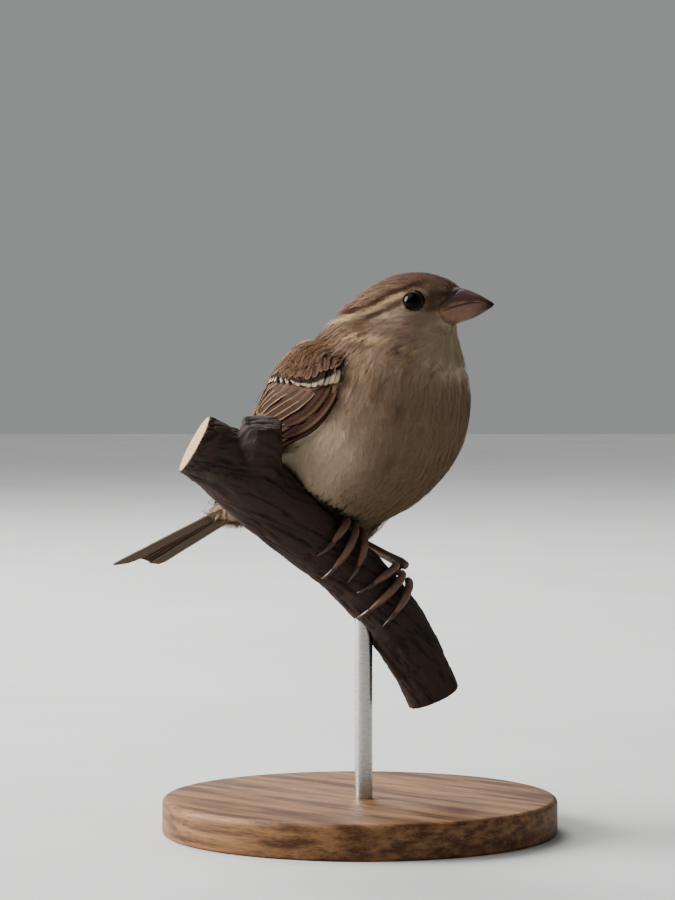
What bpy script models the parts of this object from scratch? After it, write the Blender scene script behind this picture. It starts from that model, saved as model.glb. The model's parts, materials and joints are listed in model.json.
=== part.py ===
"""A female house sparrow, life size, sitting at rest on a cut length of branch, on a plain stand.

The script runs in Blender 4.5 and leaves one closed solid for each named part of the bird, its
perch and its stand. Lengths below are in millimetres and every mesh is made in metres, +Z up. The
bird's trunk heads along +X, its right side is at -Y, and the head looks a little to its left.

Points of the bird and of the perch are given from GRIP, a point between the two feet on top of the
branch. The origin of the model is the middle of the stand's underside, GRIP_HEIGHT below it.
"""

import math

import bmesh
import bpy
import numpy as np

# ---- driving dimensions (mm, degrees) -------------------------------------------------------
MM = 0.001
GRIP_HEIGHT = 70.0  # of GRIP above the floor
GAP = 0.32  # between two solids that meet
WING_GAP = 0.6  # under a wing, which allows for the flat facets of both surfaces

# The body's outline in its plane of symmetry, with the head facing forward. Each station is a ring
# from a point on the back to a point on the underside, and half as wide as half_width:
# (name, back x, back z, underside x, underside z, half_width)
STATIONS = (
    ("tail covert tips", -47.0, 2.2, -46.0, -1.6, 4.2),
    ("tail coverts", -38.0, 7.2, -36.0, -0.6, 7.4),
    ("rump", -30.5, 13.0, -28.0, -0.9, 10.8),
    ("lower back", -25.5, 19.0, -20.0, -1.7, 14.6),
    ("back", -21.5, 25.5, -10.0, -2.0, 18.0),
    ("belly", -17.5, 31.8, 1.5, 0.0, 20.3),
    ("lower breast", -13.5, 37.2, 13.0, 5.6, 21.2),
    ("breast", -9.5, 41.0, 22.5, 14.8, 20.3),
    ("upper breast", -6.0, 43.8, 26.8, 26.0, 17.8),
    ("neck base", -3.0, 46.2, 26.8, 34.2, 14.4),
    ("nape", 0.0, 49.3, 25.4, 40.0, 12.0),
    ("back of head", 4.4, 53.0, 24.4, 43.0, 10.7),
    ("ear coverts", 10.6, 56.3, 24.0, 44.6, 9.9),
    ("crown", 16.8, 57.0, 24.1, 45.4, 8.3),
    ("forehead", 21.9, 55.9, 24.5, 46.0, 6.6),
    ("bill base", 25.0, 54.4, 25.0, 46.6, 4.6),
)
RUMP_START, RUMP_END = 0.0, 3.0  # the stations that each node of the body spans
TRUNK_END = 9.25
NECK_END = 10.9
SECTION_POWER = 2.15  # 2 gives an ellipse, more a squarer ring
BODY_SIDES = 28
RINGS_PER_STATION = 2
HEAD_RINGS_PER_STATION = 4

HEAD_YAW = 20.0  # to the bird's left
YAW_AXIS_X = 8.0  # of the upright line that the head turns about
YAW_FROM, YAW_TO = 7.1, 11.6  # the stations over which the neck takes up the turn

EYE_RADIUS = 2.75
EYE_POINT = (18.5, 7.7, 50.4)  # centre, with the head facing forward
BILL_TIP = (34.9, 50.3)
BILL_BASE_X = 24.4
CULMEN_HEIGHT = 3.9  # of the ridge above the bite line, at the base
GONYS_DEPTH = 4.9  # of the lower edge below the bite line, at its angle
BITE_Z = 51.2
BILL_HALF_WIDTH = 4.0

# The folded wing lies on the body between two edges: (station, upper edge, lower edge), as angles
# from the back, in degrees, from the bend of the wing to the tip of the primaries.
WING_EDGES = (
    (8.35, 62.0, 84.0),
    (7.85, 43.0, 97.0),
    (6.95, 31.0, 100.0),
    (5.7, 25.0, 91.0),
    (4.2, 21.0, 83.0),
    (2.1, 23.0, 72.0),
    (0.25, 44.0, 61.0),
)
COVERTS_END = 5.75  # the station where the coverts give way to the flight feathers
PRIMARIES_SHARE = 0.56  # of the wing's width that lies above the primaries there
TERTIALS_END = 1.9  # the station of the tips of the inner feathers
WING_OUT, WING_TIP_OUT = 2.7, 1.9  # how far the wing stands out from the body

TAIL_TIP = (-75.5, -13.2)
TAIL_SLOPE = 23.0  # below the level
TAIL_LENGTH = 50.0
TAIL_ROOT_WIDTH, TAIL_TIP_WIDTH = 7.6, 16.5
TAIL_THICKNESS = 1.5
TAIL_NOTCH = 2.6  # how far the middle falls short of the corners
TAIL_ARCH = 1.1  # how far the sides hang below the middle

# The perch, as (across, towards the viewer's side, up) in a frame turned by PERCH_TURN about Z.
PERCH_TURN = 45.0
PERCH_ROUTE = (
    (-37.0, 16.8, 19.0),
    (-30.0, 15.4, 14.8),
    (-22.0, 12.6, 7.6),
    (-13.0, 8.7, -0.9),
    (-4.5, 5.0, -8.0),
    (2.5, 3.0, -15.2),
    (8.6, 1.3, -23.4),
    (13.6, 0.0, -32.0),
    (17.0, -1.0, -39.5),
)
PERCH_RADII = (7.0, 7.9, 8.2, 7.3, 6.9, 6.9, 6.8, 6.3, 6.1)
STUB_FROM, STUB_TO = (-24.0, 14.0, 8.0), (-21.5, 20.0, 24.0)  # a side shoot, cut short
STUB_RADII = (6.2, 4.6)
PERCH_SIDES = 16

# Each foot: the place along the perch's route that it grips, and how its leg comes down to it.
FEET = {
    "right": {"at": 3.72, "heel": (-12.5, -4.5, 6.0), "thigh": None},
    "left": {"at": 5.1, "heel": (-10.5, 7.0, -3.4), "thigh": (-1.0, 9.5, 5.5)},
}
TARSUS_RADIUS = 0.95
THIGH_RADIUS = 4.0
TOE_RADIUS = 0.86
TOE_LIFT = 0.18  # more than GAP between a toe and the bark, for its flat facets
TOE_PITCH = 2.12  # between the roots of neighbouring toes, along the perch
CLAW_RADIUS = 0.6
CLAW_LENGTH = 4.2
# Each toe: its length, its place beside the middle toe, how much it spreads, and its direction.
TOES = {
    "inner": (9.5, -1.0, -0.20, 1),
    "middle": (13.5, 0.0, 0.0, 1),
    "outer": (10.0, 1.0, 0.20, 1),
    "hind": (8.2, 0.0, 0.0, -1),
}

BASE_RADIUS = 45.0
BASE_THICKNESS = 8.0
BASE_BEVEL = 1.2
ROD_RADIUS = 2.0
ROD_AT = 4.75  # the place along the perch's route that the rod holds
ROD_SINK = 4.0  # how deep each end of the rod is let in

COLOURS = {
    "plumage_under": (0.42, 0.35, 0.27),
    "plumage_upper": (0.22, 0.13, 0.075),
    "plumage_head": (0.27, 0.19, 0.13),
    "flight_feathers": (0.13, 0.085, 0.055),
    "bill_horn": (0.30, 0.20, 0.19),
    "eye": (0.012, 0.008, 0.006),
    "leg_scale": (0.33, 0.19, 0.15),
    "claw": (0.10, 0.065, 0.05),
    "bark": (0.115, 0.085, 0.07),
    "stand_wood": (0.16, 0.085, 0.045),
    "stand_steel": (0.55, 0.55, 0.56),
}
GLOSS = {"eye": 0.06, "bill_horn": 0.35, "claw": 0.35, "stand_steel": 0.25, "stand_wood": 0.4}


# ---- small helpers ---------------------------------------------------------------------------
def smooth_step(value, low, high):
    """0 below low, 1 above high, and a smooth rise between them."""
    share = min(1.0, max(0.0, (value - low) / (high - low)))
    return share * share * (3.0 - 2.0 * share)


def read_row(rows, place):
    """A smooth curve through rows of numbers, read at a place counted in rows."""
    rows = np.asarray(rows, float)
    last = len(rows) - 1
    place = min(max(place, 0.0), float(last))
    index = min(int(place), last - 1)
    t = place - index
    before, start = rows[max(index - 1, 0)], rows[index]
    end, after = rows[index + 1], rows[min(index + 2, last)]
    tangent_in, tangent_out = (end - before) / 2.0, (after - start) / 2.0
    return (
        start * (2 * t**3 - 3 * t**2 + 1)
        + tangent_in * (t**3 - 2 * t**2 + t)
        + end * (3 * t**2 - 2 * t**3)
        + tangent_out * (t**3 - t**2)
    )


def unit(vector):
    return vector / np.linalg.norm(vector)


def turned(point, degrees, axis_x=0.0):
    """A point turned about the upright line at (axis_x, 0)."""
    angle = math.radians(degrees)
    x, y = point[0] - axis_x, point[1]
    return np.array(
        [
            axis_x + x * math.cos(angle) - y * math.sin(angle),
            x * math.sin(angle) + y * math.cos(angle),
            point[2],
        ]
    )


def material(slot):
    """The plain finish of one kind of surface."""
    found = bpy.data.materials.get(slot)
    if found:
        return found
    made = bpy.data.materials.new(slot)
    made.use_nodes = True
    shader = made.node_tree.nodes["Principled BSDF"]
    shader.inputs["Base Color"].default_value = (*COLOURS[slot], 1.0)
    shader.inputs["Roughness"].default_value = GLOSS.get(slot, 0.8)
    shader.inputs["Metallic"].default_value = 1.0 if slot == "stand_steel" else 0.0
    return made


def make_object(name, points, faces, slot, helper=False):
    """A mesh object from points given from GRIP, in millimetres. A helper only cuts others."""
    mesh = bpy.data.meshes.new(name)
    lifted = (np.asarray(points, float) + (0.0, 0.0, GRIP_HEIGHT)) * MM
    mesh.from_pydata(lifted.tolist(), [], faces)
    mesh.validate()
    edit = bmesh.new()
    edit.from_mesh(mesh)
    bmesh.ops.recalc_face_normals(edit, faces=edit.faces)
    edit.to_mesh(mesh)
    edit.free()
    mesh.shade_smooth()
    mesh.materials.append(material(slot))
    made = bpy.data.objects.new(name, mesh)
    bpy.context.scene.collection.objects.link(made)
    if helper:
        made.hide_render = True
        made.display_type = "WIRE"
    return made


def ring_faces(rings, sides):
    """The faces of a closed loft of rings, with a fan over each end."""
    faces = []
    for i in range(rings - 1):
        for j in range(sides):
            k = (j + 1) % sides
            faces.append((i * sides + j, i * sides + k, (i + 1) * sides + k, (i + 1) * sides + j))
    faces.append(tuple(reversed(range(sides))))
    faces.append(tuple(range((rings - 1) * sides, rings * sides)))
    return faces


def tube(name, path, radii, slot, sides=8, helper=False, shape=None):
    """A round bar along a path. The optional shape varies the radius by (share along, angle)."""
    path = [np.asarray(p, float) for p in path]
    side = None
    points = []
    for i, centre in enumerate(path):
        along = unit(path[min(i + 1, len(path) - 1)] - path[max(i - 1, 0)])
        if side is None:
            side = unit(np.cross(along, (0.31, 0.2, 0.93)))
        side = unit(side - along * (side @ along))
        other = np.cross(along, side)
        for j in range(sides):
            angle = 2 * math.pi * j / sides
            radius = radii[i]
            if shape:
                radius *= shape(i / (len(path) - 1), angle)
            points.append(centre + radius * (side * math.cos(angle) + other * math.sin(angle)))
    return make_object(name, points, ring_faces(len(path), sides), slot, helper)


def cut(target, *cutters):
    """Cuts helpers out of a solid."""
    for cutter in cutters:
        step = target.modifiers.new("cut " + cutter.name, "BOOLEAN")
        step.operation = "DIFFERENCE"
        step.solver = "EXACT"
        step.object = cutter


# ---- the body --------------------------------------------------------------------------------
def body_point(station, angle, out=0.0):
    """A point of the body's surface: an angle in degrees from the back, positive to its right."""
    back_x, back_z, under_x, under_z, half_width = read_row([s[1:] for s in STATIONS], station)
    turn = math.radians(angle)
    up_share, side_share = math.cos(turn), math.sin(turn)
    squareness = 2.0 / SECTION_POWER
    up_share = math.copysign(abs(up_share) ** squareness, up_share)
    side_share = math.copysign(abs(side_share) ** squareness, side_share)
    middle = np.array([(back_x + under_x) / 2, 0.0, (back_z + under_z) / 2])
    half = np.array([(back_x - under_x) / 2, 0.0, (back_z - under_z) / 2])
    reach = np.linalg.norm(half)
    half *= (reach + out) / reach
    point = middle + half * up_share + np.array([0.0, -1.0, 0.0]) * (half_width + out) * side_share
    share = smooth_step(station, YAW_FROM, YAW_TO)
    return turned(point, HEAD_YAW * share, YAW_AXIS_X)


def head_point(point):
    """Where a point of the head goes when the head turns."""
    return turned(np.asarray(point, float), HEAD_YAW, YAW_AXIS_X)


def body_length(name, start, end, slot, out=0.0, rings=RINGS_PER_STATION, helper=False):
    """One length of the body, from one station to another, closed at both ends."""
    count = max(3, round((end - start) * rings) + 1)
    points = [
        body_point(station, 360.0 * j / BODY_SIDES, out)
        for station in np.linspace(start, end, count)
        for j in range(BODY_SIDES)
    ]
    return make_object(name, points, ring_faces(count, BODY_SIDES), slot, helper)


def build_body():
    """The rump, trunk, neck and head, a thin gap apart."""
    part = 0.035  # half of the gap between two lengths, in stations
    rump = body_length("rump", RUMP_START, RUMP_END - part, "plumage_upper")
    trunk = body_length("trunk", RUMP_END + part, TRUNK_END - part, "plumage_under")
    neck = body_length("neck", TRUNK_END + part, NECK_END - part, "plumage_under")
    last = len(STATIONS) - 1
    head = body_length(
        "head", NECK_END + 2 * part, last, "plumage_head", rings=HEAD_RINGS_PER_STATION,
    )
    body_length("body room", RUMP_START, TRUNK_END, "plumage_under", GAP * 1.4,
                helper=True)
    return {"rump": rump, "trunk": trunk, "neck": neck, "head": head}


# ---- the head's hard parts -------------------------------------------------------------------
def ball(name, centre, radius, slot, helper=False):
    """A round ball."""
    edit = bmesh.new()
    bmesh.ops.create_uvsphere(edit, u_segments=16, v_segments=12, radius=radius)
    points = [np.array(v.co) + centre for v in edit.verts]
    faces = [tuple(v.index for v in face.verts) for face in edit.faces]
    edit.free()
    return make_object(name, points, faces, slot, helper)


def build_eyes(head):
    """Both eyeballs, each in a socket of the head."""
    for side, sign in (("right", -1.0), ("left", 1.0)):
        x, y, z = EYE_POINT
        centre = head_point((x, sign * y, z))
        ball("eye_" + side, centre, EYE_RADIUS, "eye")
        cut(head, ball("socket " + side, centre, EYE_RADIUS + GAP, "eye", helper=True))


def bill_profile(share):
    """(x, half width, ridge height, lower depth, bite line z) at a share of the bill's length."""
    x = BILL_BASE_X + (BILL_TIP[0] - BILL_BASE_X) * share
    taper = 1.0 - share
    half_width = 0.28 + (BILL_HALF_WIDTH - 0.28) * taper**0.8
    ridge = 0.30 + (CULMEN_HEIGHT - 0.30) * (1.0 - share**1.75)
    swell = math.sin(math.pi * min(1.0, 0.42 + 0.58 * share)) ** 0.75
    depth = 0.22 + (GONYS_DEPTH - 0.22) * swell
    gape = 1.9 * (1.0 - smooth_step(share, 0.0, 0.22))
    bite = BITE_Z - gape + (BILL_TIP[1] - BITE_Z) * share**3
    return x, half_width, ridge, depth, bite


def build_bill():
    """The upper and the lower half of the bill, shut on a fine line."""
    rings, arc_sides = 11, 8
    for name, direction in (("bill_upper", 1.0), ("bill_lower", -1.0)):
        points = []
        for i in range(rings):
            x, half_width, ridge, depth, bite = bill_profile(i / (rings - 1))
            height = ridge if direction > 0 else depth
            start = bite + direction * GAP / 2
            for j in range(arc_sides + 1):
                angle = math.pi * j / arc_sides
                across = half_width * math.cos(angle)
                rise = height * math.sin(angle) ** (0.86 if direction > 0 else 0.7)
                points.append(head_point((x, across, start + direction * rise)))
        sides = arc_sides + 1
        solid = make_object(name, points, ring_faces(rings, sides), "bill_horn")
        cut(solid, bpy.data.objects["bill bed"])


def build_bill_bed():
    """What the face takes up at the root of the bill."""
    points = []
    last = len(STATIONS) - 1
    for station in (last - 1.6, last - 0.8, last):
        for j in range(BODY_SIDES):
            points.append(body_point(station, 360.0 * j / BODY_SIDES, GAP))
    for j in range(BODY_SIDES):  # a thin step past the face, which makes the gap
        rim = body_point(last, 360.0 * j / BODY_SIDES, GAP)
        points.append(rim + head_point((1.0 + YAW_AXIS_X, 0, 0)) * GAP - (YAW_AXIS_X * GAP, 0, 0))
    make_object("bill bed", points, ring_faces(4, BODY_SIDES), "plumage_head", helper=True)


# ---- the wings -------------------------------------------------------------------------------
def wing_edge(place):
    """(station, upper edge, lower edge) of the wing at a share of its length from the front."""
    return read_row(WING_EDGES, place * (len(WING_EDGES) - 1))


def wing_place(station):
    """The share of the wing's length at which it crosses a station of the body."""
    low, high = 0.0, 1.0
    for _ in range(30):
        middle = (low + high) / 2
        if wing_edge(middle)[0] > station:
            low = middle
        else:
            high = middle
    return (low + high) / 2


def wing_panel(name, side, span, width, slot, rings, across=6):
    """A curved panel of a folded wing.

    span is the first and last share of the wing's length, and width(place) gives the upper and
    the lower share of its width there.
    """
    points = []
    for i in range(rings):
        place = span[0] + (span[1] - span[0]) * i / (rings - 1)
        station, upper, lower = wing_edge(place)
        top, bottom = width(place)
        out = WING_OUT + (WING_TIP_OUT - WING_OUT) * place
        row = np.linspace(top, bottom, across)
        ends = 1.0 - 0.4 * abs(2 * place - 1) ** 6
        for inner in (False, True):
            for share in row[::-1] if inner else row:
                angle = upper + (lower - upper) * share
                crown = 1.0 - 0.45 * abs(2 * share - 1) ** 3
                depth = WING_GAP if inner else WING_GAP + (out - WING_GAP) * crown * ends
                points.append(body_point(station, side * angle, depth))
    return make_object(name, points, ring_faces(rings, 2 * across), slot)


def build_wing(side_name, side):
    """Coverts, inner flight feathers and primaries of one folded wing."""
    coverts_place, tertials_place = wing_place(COVERTS_END), wing_place(TERTIALS_END)
    part = 0.0025  # half of the gap between two panels, in shares

    def divide(place):
        """The share of the width where the inner feathers lie over the primaries."""
        share = (place - coverts_place) / (tertials_place - coverts_place)
        return PRIMARIES_SHARE * (1.0 - 0.55 * max(0.0, share) ** 2)

    wing_panel(
        "wing_" + side_name + "_coverts", side, (0.0, coverts_place - part),
        lambda place: (0.0, 1.0), "plumage_upper", 7,
    )
    wing_panel(
        "wing_" + side_name + "_secondaries", side, (coverts_place + part, tertials_place),
        lambda place: (0.0, divide(place) - 0.015), "flight_feathers", 7, 5,
    )
    wing_panel(
        "wing_" + side_name + "_primaries", side, (coverts_place + part, 1.0),
        lambda place: (divide(place) + 0.015, 1.0), "flight_feathers", 9, 5,
    )


# ---- the tail --------------------------------------------------------------------------------
def tail_point(back, across, up):
    """A point of the tail, from its tip: how far towards the root, to the left, and up."""
    angle = math.radians(TAIL_SLOPE)
    x = TAIL_TIP[0] + back * math.cos(angle) - up * math.sin(angle)
    z = TAIL_TIP[1] + back * math.sin(angle) + up * math.cos(angle)
    return np.array([x, across, z])


def tail_blade(name, edges, slot, grow=0.0, helper=False):
    """A length of the closed tail between two shares of its width, from -1 at the right."""
    rings, across = 7, 4
    points = []
    for i in range(rings):
        along = i / (rings - 1)
        half_width = (TAIL_TIP_WIDTH + (TAIL_ROOT_WIDTH - TAIL_TIP_WIDTH) * along) / 2
        for over in (False, True):
            shares = np.linspace(edges[0], edges[1], across)
            for share in shares if over else shares[::-1]:
                notch = TAIL_NOTCH * (1.0 - abs(share)) + 1.3 * max(0.0, abs(share) - 0.75) / 0.25
                back = notch + (TAIL_LENGTH - notch) * along
                thin = TAIL_THICKNESS * (0.42 + 0.58 * along) * (1.0 - 0.35 * abs(share))
                rise = (thin / 2 + grow) * (1 if over else -1) - TAIL_ARCH * share * share
                spread = half_width * share + math.copysign(grow, share) * abs(share)
                points.append(tail_point(back, spread, rise))
    return make_object(name, points, ring_faces(rings, 2 * across), slot, helper)


def build_tail(rump):
    """The tail feathers in three lengths, rooted in the coverts of the rump."""
    third, part = 0.36, 0.022
    tail_blade("tail_right", (-1.0, -third - part), "flight_feathers")
    tail_blade("tail_middle", (-third + part, third - part), "flight_feathers")
    tail_blade("tail_left", (third + part, 1.0), "flight_feathers")
    bed = tail_blade("tail bed", (-1.0, 1.0), "flight_feathers", grow=GAP + 0.1, helper=True)
    cut(rump, bed)


# ---- the perch -------------------------------------------------------------------------------
def from_perch_frame(point):
    """A point of the perch's turned frame, as a point of the bird's."""
    across, near, up = point
    angle = math.radians(PERCH_TURN)
    return np.array(
        [
            across * math.cos(angle) + near * math.sin(angle),
            across * math.sin(angle) - near * math.cos(angle),
            up,
        ]
    )


def perch_line(place):
    """The middle of the branch, its direction and its radius, at a place along its route."""
    middle = from_perch_frame(read_row(PERCH_ROUTE, place))
    step = 0.05
    ahead = from_perch_frame(read_row(PERCH_ROUTE, place + step))
    behind = from_perch_frame(read_row(PERCH_ROUTE, place - step))
    radius = float(read_row([[r] for r in PERCH_RADII], place)[0])
    return middle, unit(ahead - behind), radius


def build_perch():
    """The cut branch with its side shoot."""
    last = len(PERCH_ROUTE) - 1
    places = np.linspace(0.0, last, 2 * last + 1)
    lines = [perch_line(place) for place in places]
    branch = tube(
        "perch", [line[0] for line in lines], [line[2] for line in lines], "bark", PERCH_SIDES,
    )
    stub_path = [
        from_perch_frame(np.array(STUB_FROM) + (np.array(STUB_TO) - STUB_FROM) * share)
        for share in (0.0, 0.4, 0.7, 1.0)
    ]
    stub_radii = np.linspace(*STUB_RADII, len(stub_path))
    shoot = tube("side shoot", stub_path, stub_radii, "bark", 12, helper=True)
    join = branch.modifiers.new("shoot", "BOOLEAN")
    join.operation = "UNION"
    join.solver = "EXACT"
    join.object = shoot
    return branch


def perch_cutter():
    """The room that the branch, and the toes round it, press into the belly."""
    last = len(PERCH_ROUTE) - 1
    places = np.linspace(0.0, last, 2 * last + 1)
    lines = [perch_line(place) for place in places]
    toes = 2 * TOE_RADIUS + TOE_LIFT + GAP
    radii = [
        line[2] + GAP * 1.2 + toes * smooth_step(place, 2.4, 3.1)
        for place, line in zip(places, lines)
    ]
    return tube("perch groove", [line[0] for line in lines], radii, "bark", PERCH_SIDES, True)


# ---- the legs --------------------------------------------------------------------------------
def grip_frame(place):
    """The middle of the branch at a foot, its direction, the way up from it and its radius."""
    middle, along, radius = perch_line(place)
    up = unit(np.array([0.0, 0.0, 1.0]) - along * along[2])
    return middle, along, up, radius


def grip_point(place, slide, turn, clear):
    """A point round the branch: slide along it, turn from its top, clear of its surface."""
    middle, along, up, _ = grip_frame(place)
    ahead = np.cross(along, up)
    ahead *= math.copysign(1.0, ahead[0])  # the side of the branch that the bird faces
    local = middle + along * slide
    step = slide / 11.0  # how far one place of the route is, nearly
    radius = perch_line(place + step)[2]
    direction = up * math.cos(turn) + ahead * math.sin(turn)
    return local + direction * (radius + clear)


def build_toe(side_name, place, toe_name, toe):
    """One toe bent round the branch, and its claw."""
    length, beside, spread, direction = toe
    rings = 9
    wrap_radius = perch_line(place)[2] + TOE_RADIUS
    start_turn = direction * (0.20 if direction > 0 else 0.16)
    path, radii = [], []
    for i in range(rings):
        share = i / (rings - 1)
        turn = start_turn + direction * length * share / wrap_radius
        slide = beside * TOE_PITCH + spread * length * share
        knuckle = 1.0 + 0.10 * math.cos(share * 6 * math.pi)
        radius = TOE_RADIUS * (1.0 - 0.2 * share) * knuckle
        path.append(grip_point(place, slide, turn, GAP + TOE_LIFT + TOE_RADIUS))
        radii.append(radius * (0.6 if i in (0, rings - 1) else 1.0))
    name = "toe_" + side_name + "_" + toe_name
    tube(name, path, radii, "leg_scale", 8)

    claw_path, claw_radii = [], []
    steps = 6
    for i in range(steps):
        share = i / (steps - 1)
        turn = start_turn + direction * (length + 0.75 + CLAW_LENGTH * share) / wrap_radius
        slide = beside * TOE_PITCH + spread * (length + CLAW_LENGTH * share)
        arch = 0.55 * math.sin(math.pi * share * 0.8)
        clear = GAP + TOE_LIFT + TOE_RADIUS * (1.0 - share) + arch + 0.2
        claw_path.append(grip_point(place, slide, turn, clear))
        claw_radii.append(CLAW_RADIUS * (1.0 - 0.82 * share**1.3))
    tube("claw_" + side_name + "_" + toe_name, claw_path, claw_radii, "claw", 6)


def build_leg(side_name, foot, body):
    """The shank and toes of one leg, and its feathered thigh where it shows."""
    place = foot["at"]
    ankle = grip_point(place, 0.0, -0.02, 2 * TOE_RADIUS + TOE_LIFT + 1.4)
    heel = np.array(foot["heel"])
    reach = unit(ankle - heel)
    path = [heel + (ankle - heel) * share for share in (0.0, 0.08, 0.35, 0.65, 0.9, 1.0)]
    radii = [TARSUS_RADIUS * size for size in (0.8, 1.2, 1.0, 0.95, 1.15, 0.85)]
    tube("tarsus_" + side_name, path, radii, "leg_scale", 10)
    bed_path = [heel - reach * GAP * 2, ankle + reach * 1.5]
    bed_radii = [TARSUS_RADIUS * 1.2 + GAP] * 2
    bed = tube("tarsus bed " + side_name, bed_path, bed_radii, "leg_scale", 10, True)
    cut(body["trunk"], bed)
    for toe_name, toe in TOES.items():
        build_toe(side_name, place, toe_name, toe)
    if foot["thigh"] is None:
        return
    top = np.array(foot["thigh"])
    path = [top + (heel - top) * share for share in (0.0, 0.2, 0.45, 0.7, 0.9, 1.0, 1.05)]
    sizes = (0.6, 0.92, 1.0, 0.9, 0.7, 0.52, 0.34)
    thigh = tube(
        "thigh_" + side_name, path, [THIGH_RADIUS * s for s in sizes], "plumage_under", 12,
    )
    cut(thigh, bed, bpy.data.objects["body room"])


# ---- the stand -------------------------------------------------------------------------------
def round_bar(name, centre, radius, low, high, slot, sides, bevel=0.0, helper=False):
    """An upright round bar or disc between two heights above the floor."""
    points = [
        (
            centre[0] + radius * math.cos(2 * math.pi * j / sides),
            centre[1] + radius * math.sin(2 * math.pi * j / sides),
            height - GRIP_HEIGHT,
        )
        for height in (low, high)
        for j in range(sides)
    ]
    made = make_object(name, points, ring_faces(2, sides), slot, helper)
    made.data.set_sharp_from_angle(angle=math.radians(40))
    if bevel:
        step = made.modifiers.new("edge", "BEVEL")
        step.width = bevel * MM
        step.segments = 1
        step.limit_method = "ANGLE"
        step.harden_normals = True
    return made


def build_stand(branch):
    """A flat round base and one rod, let into the base and into the perch."""
    middle, _, radius = perch_line(ROD_AT)
    base = round_bar(
        "stand_base", (0.0, 0.0), BASE_RADIUS, 0.0, BASE_THICKNESS, "stand_wood", 56, BASE_BEVEL,
    )
    top = GRIP_HEIGHT + middle[2] - radius + ROD_SINK
    low = BASE_THICKNESS - ROD_SINK
    round_bar("stand_rod", middle[:2], ROD_RADIUS, low, top, "stand_steel", 20)
    hole = round_bar(
        "rod hole", middle[:2], ROD_RADIUS + GAP, low - GAP, top + GAP, "stand_steel", 20,
        helper=True,
    )
    cut(base, hole)
    cut(branch, hole)


def main():
    for old in list(bpy.data.objects):
        bpy.data.objects.remove(old)
    body = build_body()
    build_eyes(body["head"])
    build_bill_bed()
    build_bill()
    build_wing("right", 1.0)
    build_wing("left", -1.0)
    build_tail(body["rump"])
    branch = build_perch()
    groove = perch_cutter()
    cut(body["trunk"], groove)
    cut(body["rump"], groove)
    for side_name, foot in FEET.items():
        build_leg(side_name, foot, body)
    build_stand(branch)


main()
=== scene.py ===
"""A female house sparrow at rest on a cut branch: the finish of every piece over its fixed solids.

The bird's skin, contour feathers, flight feathers, eyes, bill and feet are built here, with the
bark of its perch and the plain stand. Lengths in the dataclasses are millimetres unless their
comment says otherwise, and every mesh is made in metres. +X is the way the bird's trunk faces, +Y
is its left and +Z is up.
"""

from __future__ import annotations

import json
import logging
import math
from dataclasses import dataclass, field
from enum import Enum
from typing import Sequence

import bpy
import numpy as np
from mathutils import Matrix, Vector
from mathutils.bvhtree import BVHTree
from mathutils.kdtree import KDTree

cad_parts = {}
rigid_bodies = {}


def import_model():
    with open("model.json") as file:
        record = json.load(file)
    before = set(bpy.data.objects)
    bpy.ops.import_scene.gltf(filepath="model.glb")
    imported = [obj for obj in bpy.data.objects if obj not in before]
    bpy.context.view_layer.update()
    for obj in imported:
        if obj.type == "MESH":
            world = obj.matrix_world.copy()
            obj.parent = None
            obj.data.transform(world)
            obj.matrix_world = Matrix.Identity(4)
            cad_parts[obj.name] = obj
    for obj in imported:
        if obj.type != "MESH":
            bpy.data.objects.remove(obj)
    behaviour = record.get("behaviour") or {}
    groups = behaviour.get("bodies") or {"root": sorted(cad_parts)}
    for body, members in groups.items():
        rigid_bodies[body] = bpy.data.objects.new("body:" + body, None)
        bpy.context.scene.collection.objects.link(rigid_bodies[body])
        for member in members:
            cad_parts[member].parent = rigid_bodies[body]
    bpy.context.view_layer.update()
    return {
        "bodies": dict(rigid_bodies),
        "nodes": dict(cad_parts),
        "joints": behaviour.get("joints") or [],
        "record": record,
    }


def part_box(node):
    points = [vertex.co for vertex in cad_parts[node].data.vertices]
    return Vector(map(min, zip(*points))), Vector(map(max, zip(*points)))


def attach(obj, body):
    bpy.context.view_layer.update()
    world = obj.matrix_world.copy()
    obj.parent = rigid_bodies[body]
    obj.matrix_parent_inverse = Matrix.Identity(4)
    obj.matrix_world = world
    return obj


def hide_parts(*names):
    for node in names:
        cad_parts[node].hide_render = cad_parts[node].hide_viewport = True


MM = 0.001
BODY = "root"
UPWARD = np.array([0.0, 0.0, 1.0])
Array = np.ndarray
Colour = tuple[float, float, float]
Pair = tuple[float, float]
Curve = tuple[tuple[float, ...], tuple[float, ...]]  # places, and the values there
log = logging.getLogger("sparrow")


# ---- arithmetic ----
def smooth(value: Array | float, low: Array | float, high: Array | float) -> Array:
    """A smooth rise from 0 at low to 1 at high."""
    share = np.clip((np.asarray(value, float) - low) / (high - low), 0.0, 1.0)
    return share * share * (3.0 - 2.0 * share)


def bump(value: Array | float, centre: Array | float, half: Array | float, soft: float) -> Array:
    """1 within half of centre, falling smoothly to 0 over soft."""
    return 1.0 - smooth(np.abs(np.asarray(value, float) - centre), half, half + soft)


def from_line(points: Array, line: Array) -> Array:
    """The distance of flat points from a line through a few places.

    Args:
        points: flat places.
        line: the places that the line passes through.

    Returns:
        One distance for each point.
    """
    best = np.full(len(points), np.inf)
    for start, end in zip(line[:-1], line[1:]):
        step = end - start
        share = np.clip((points - start) @ step / (step @ step), 0.0, 1.0)
        best = np.minimum(best, np.linalg.norm(points - start - share[:, None] * step, axis=1))
    return best


def unit(vectors: Array) -> Array:
    """Vectors scaled to length 1, along the last axis."""
    length = np.linalg.norm(vectors, axis=-1, keepdims=True)
    return vectors / np.maximum(length, 1e-12)


def square_to(vectors: Array, ways: Array) -> Array:
    """Vectors turned square to some directions, with length 1."""
    return unit(vectors - ways * (vectors * ways).sum(1, keepdims=True))


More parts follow.
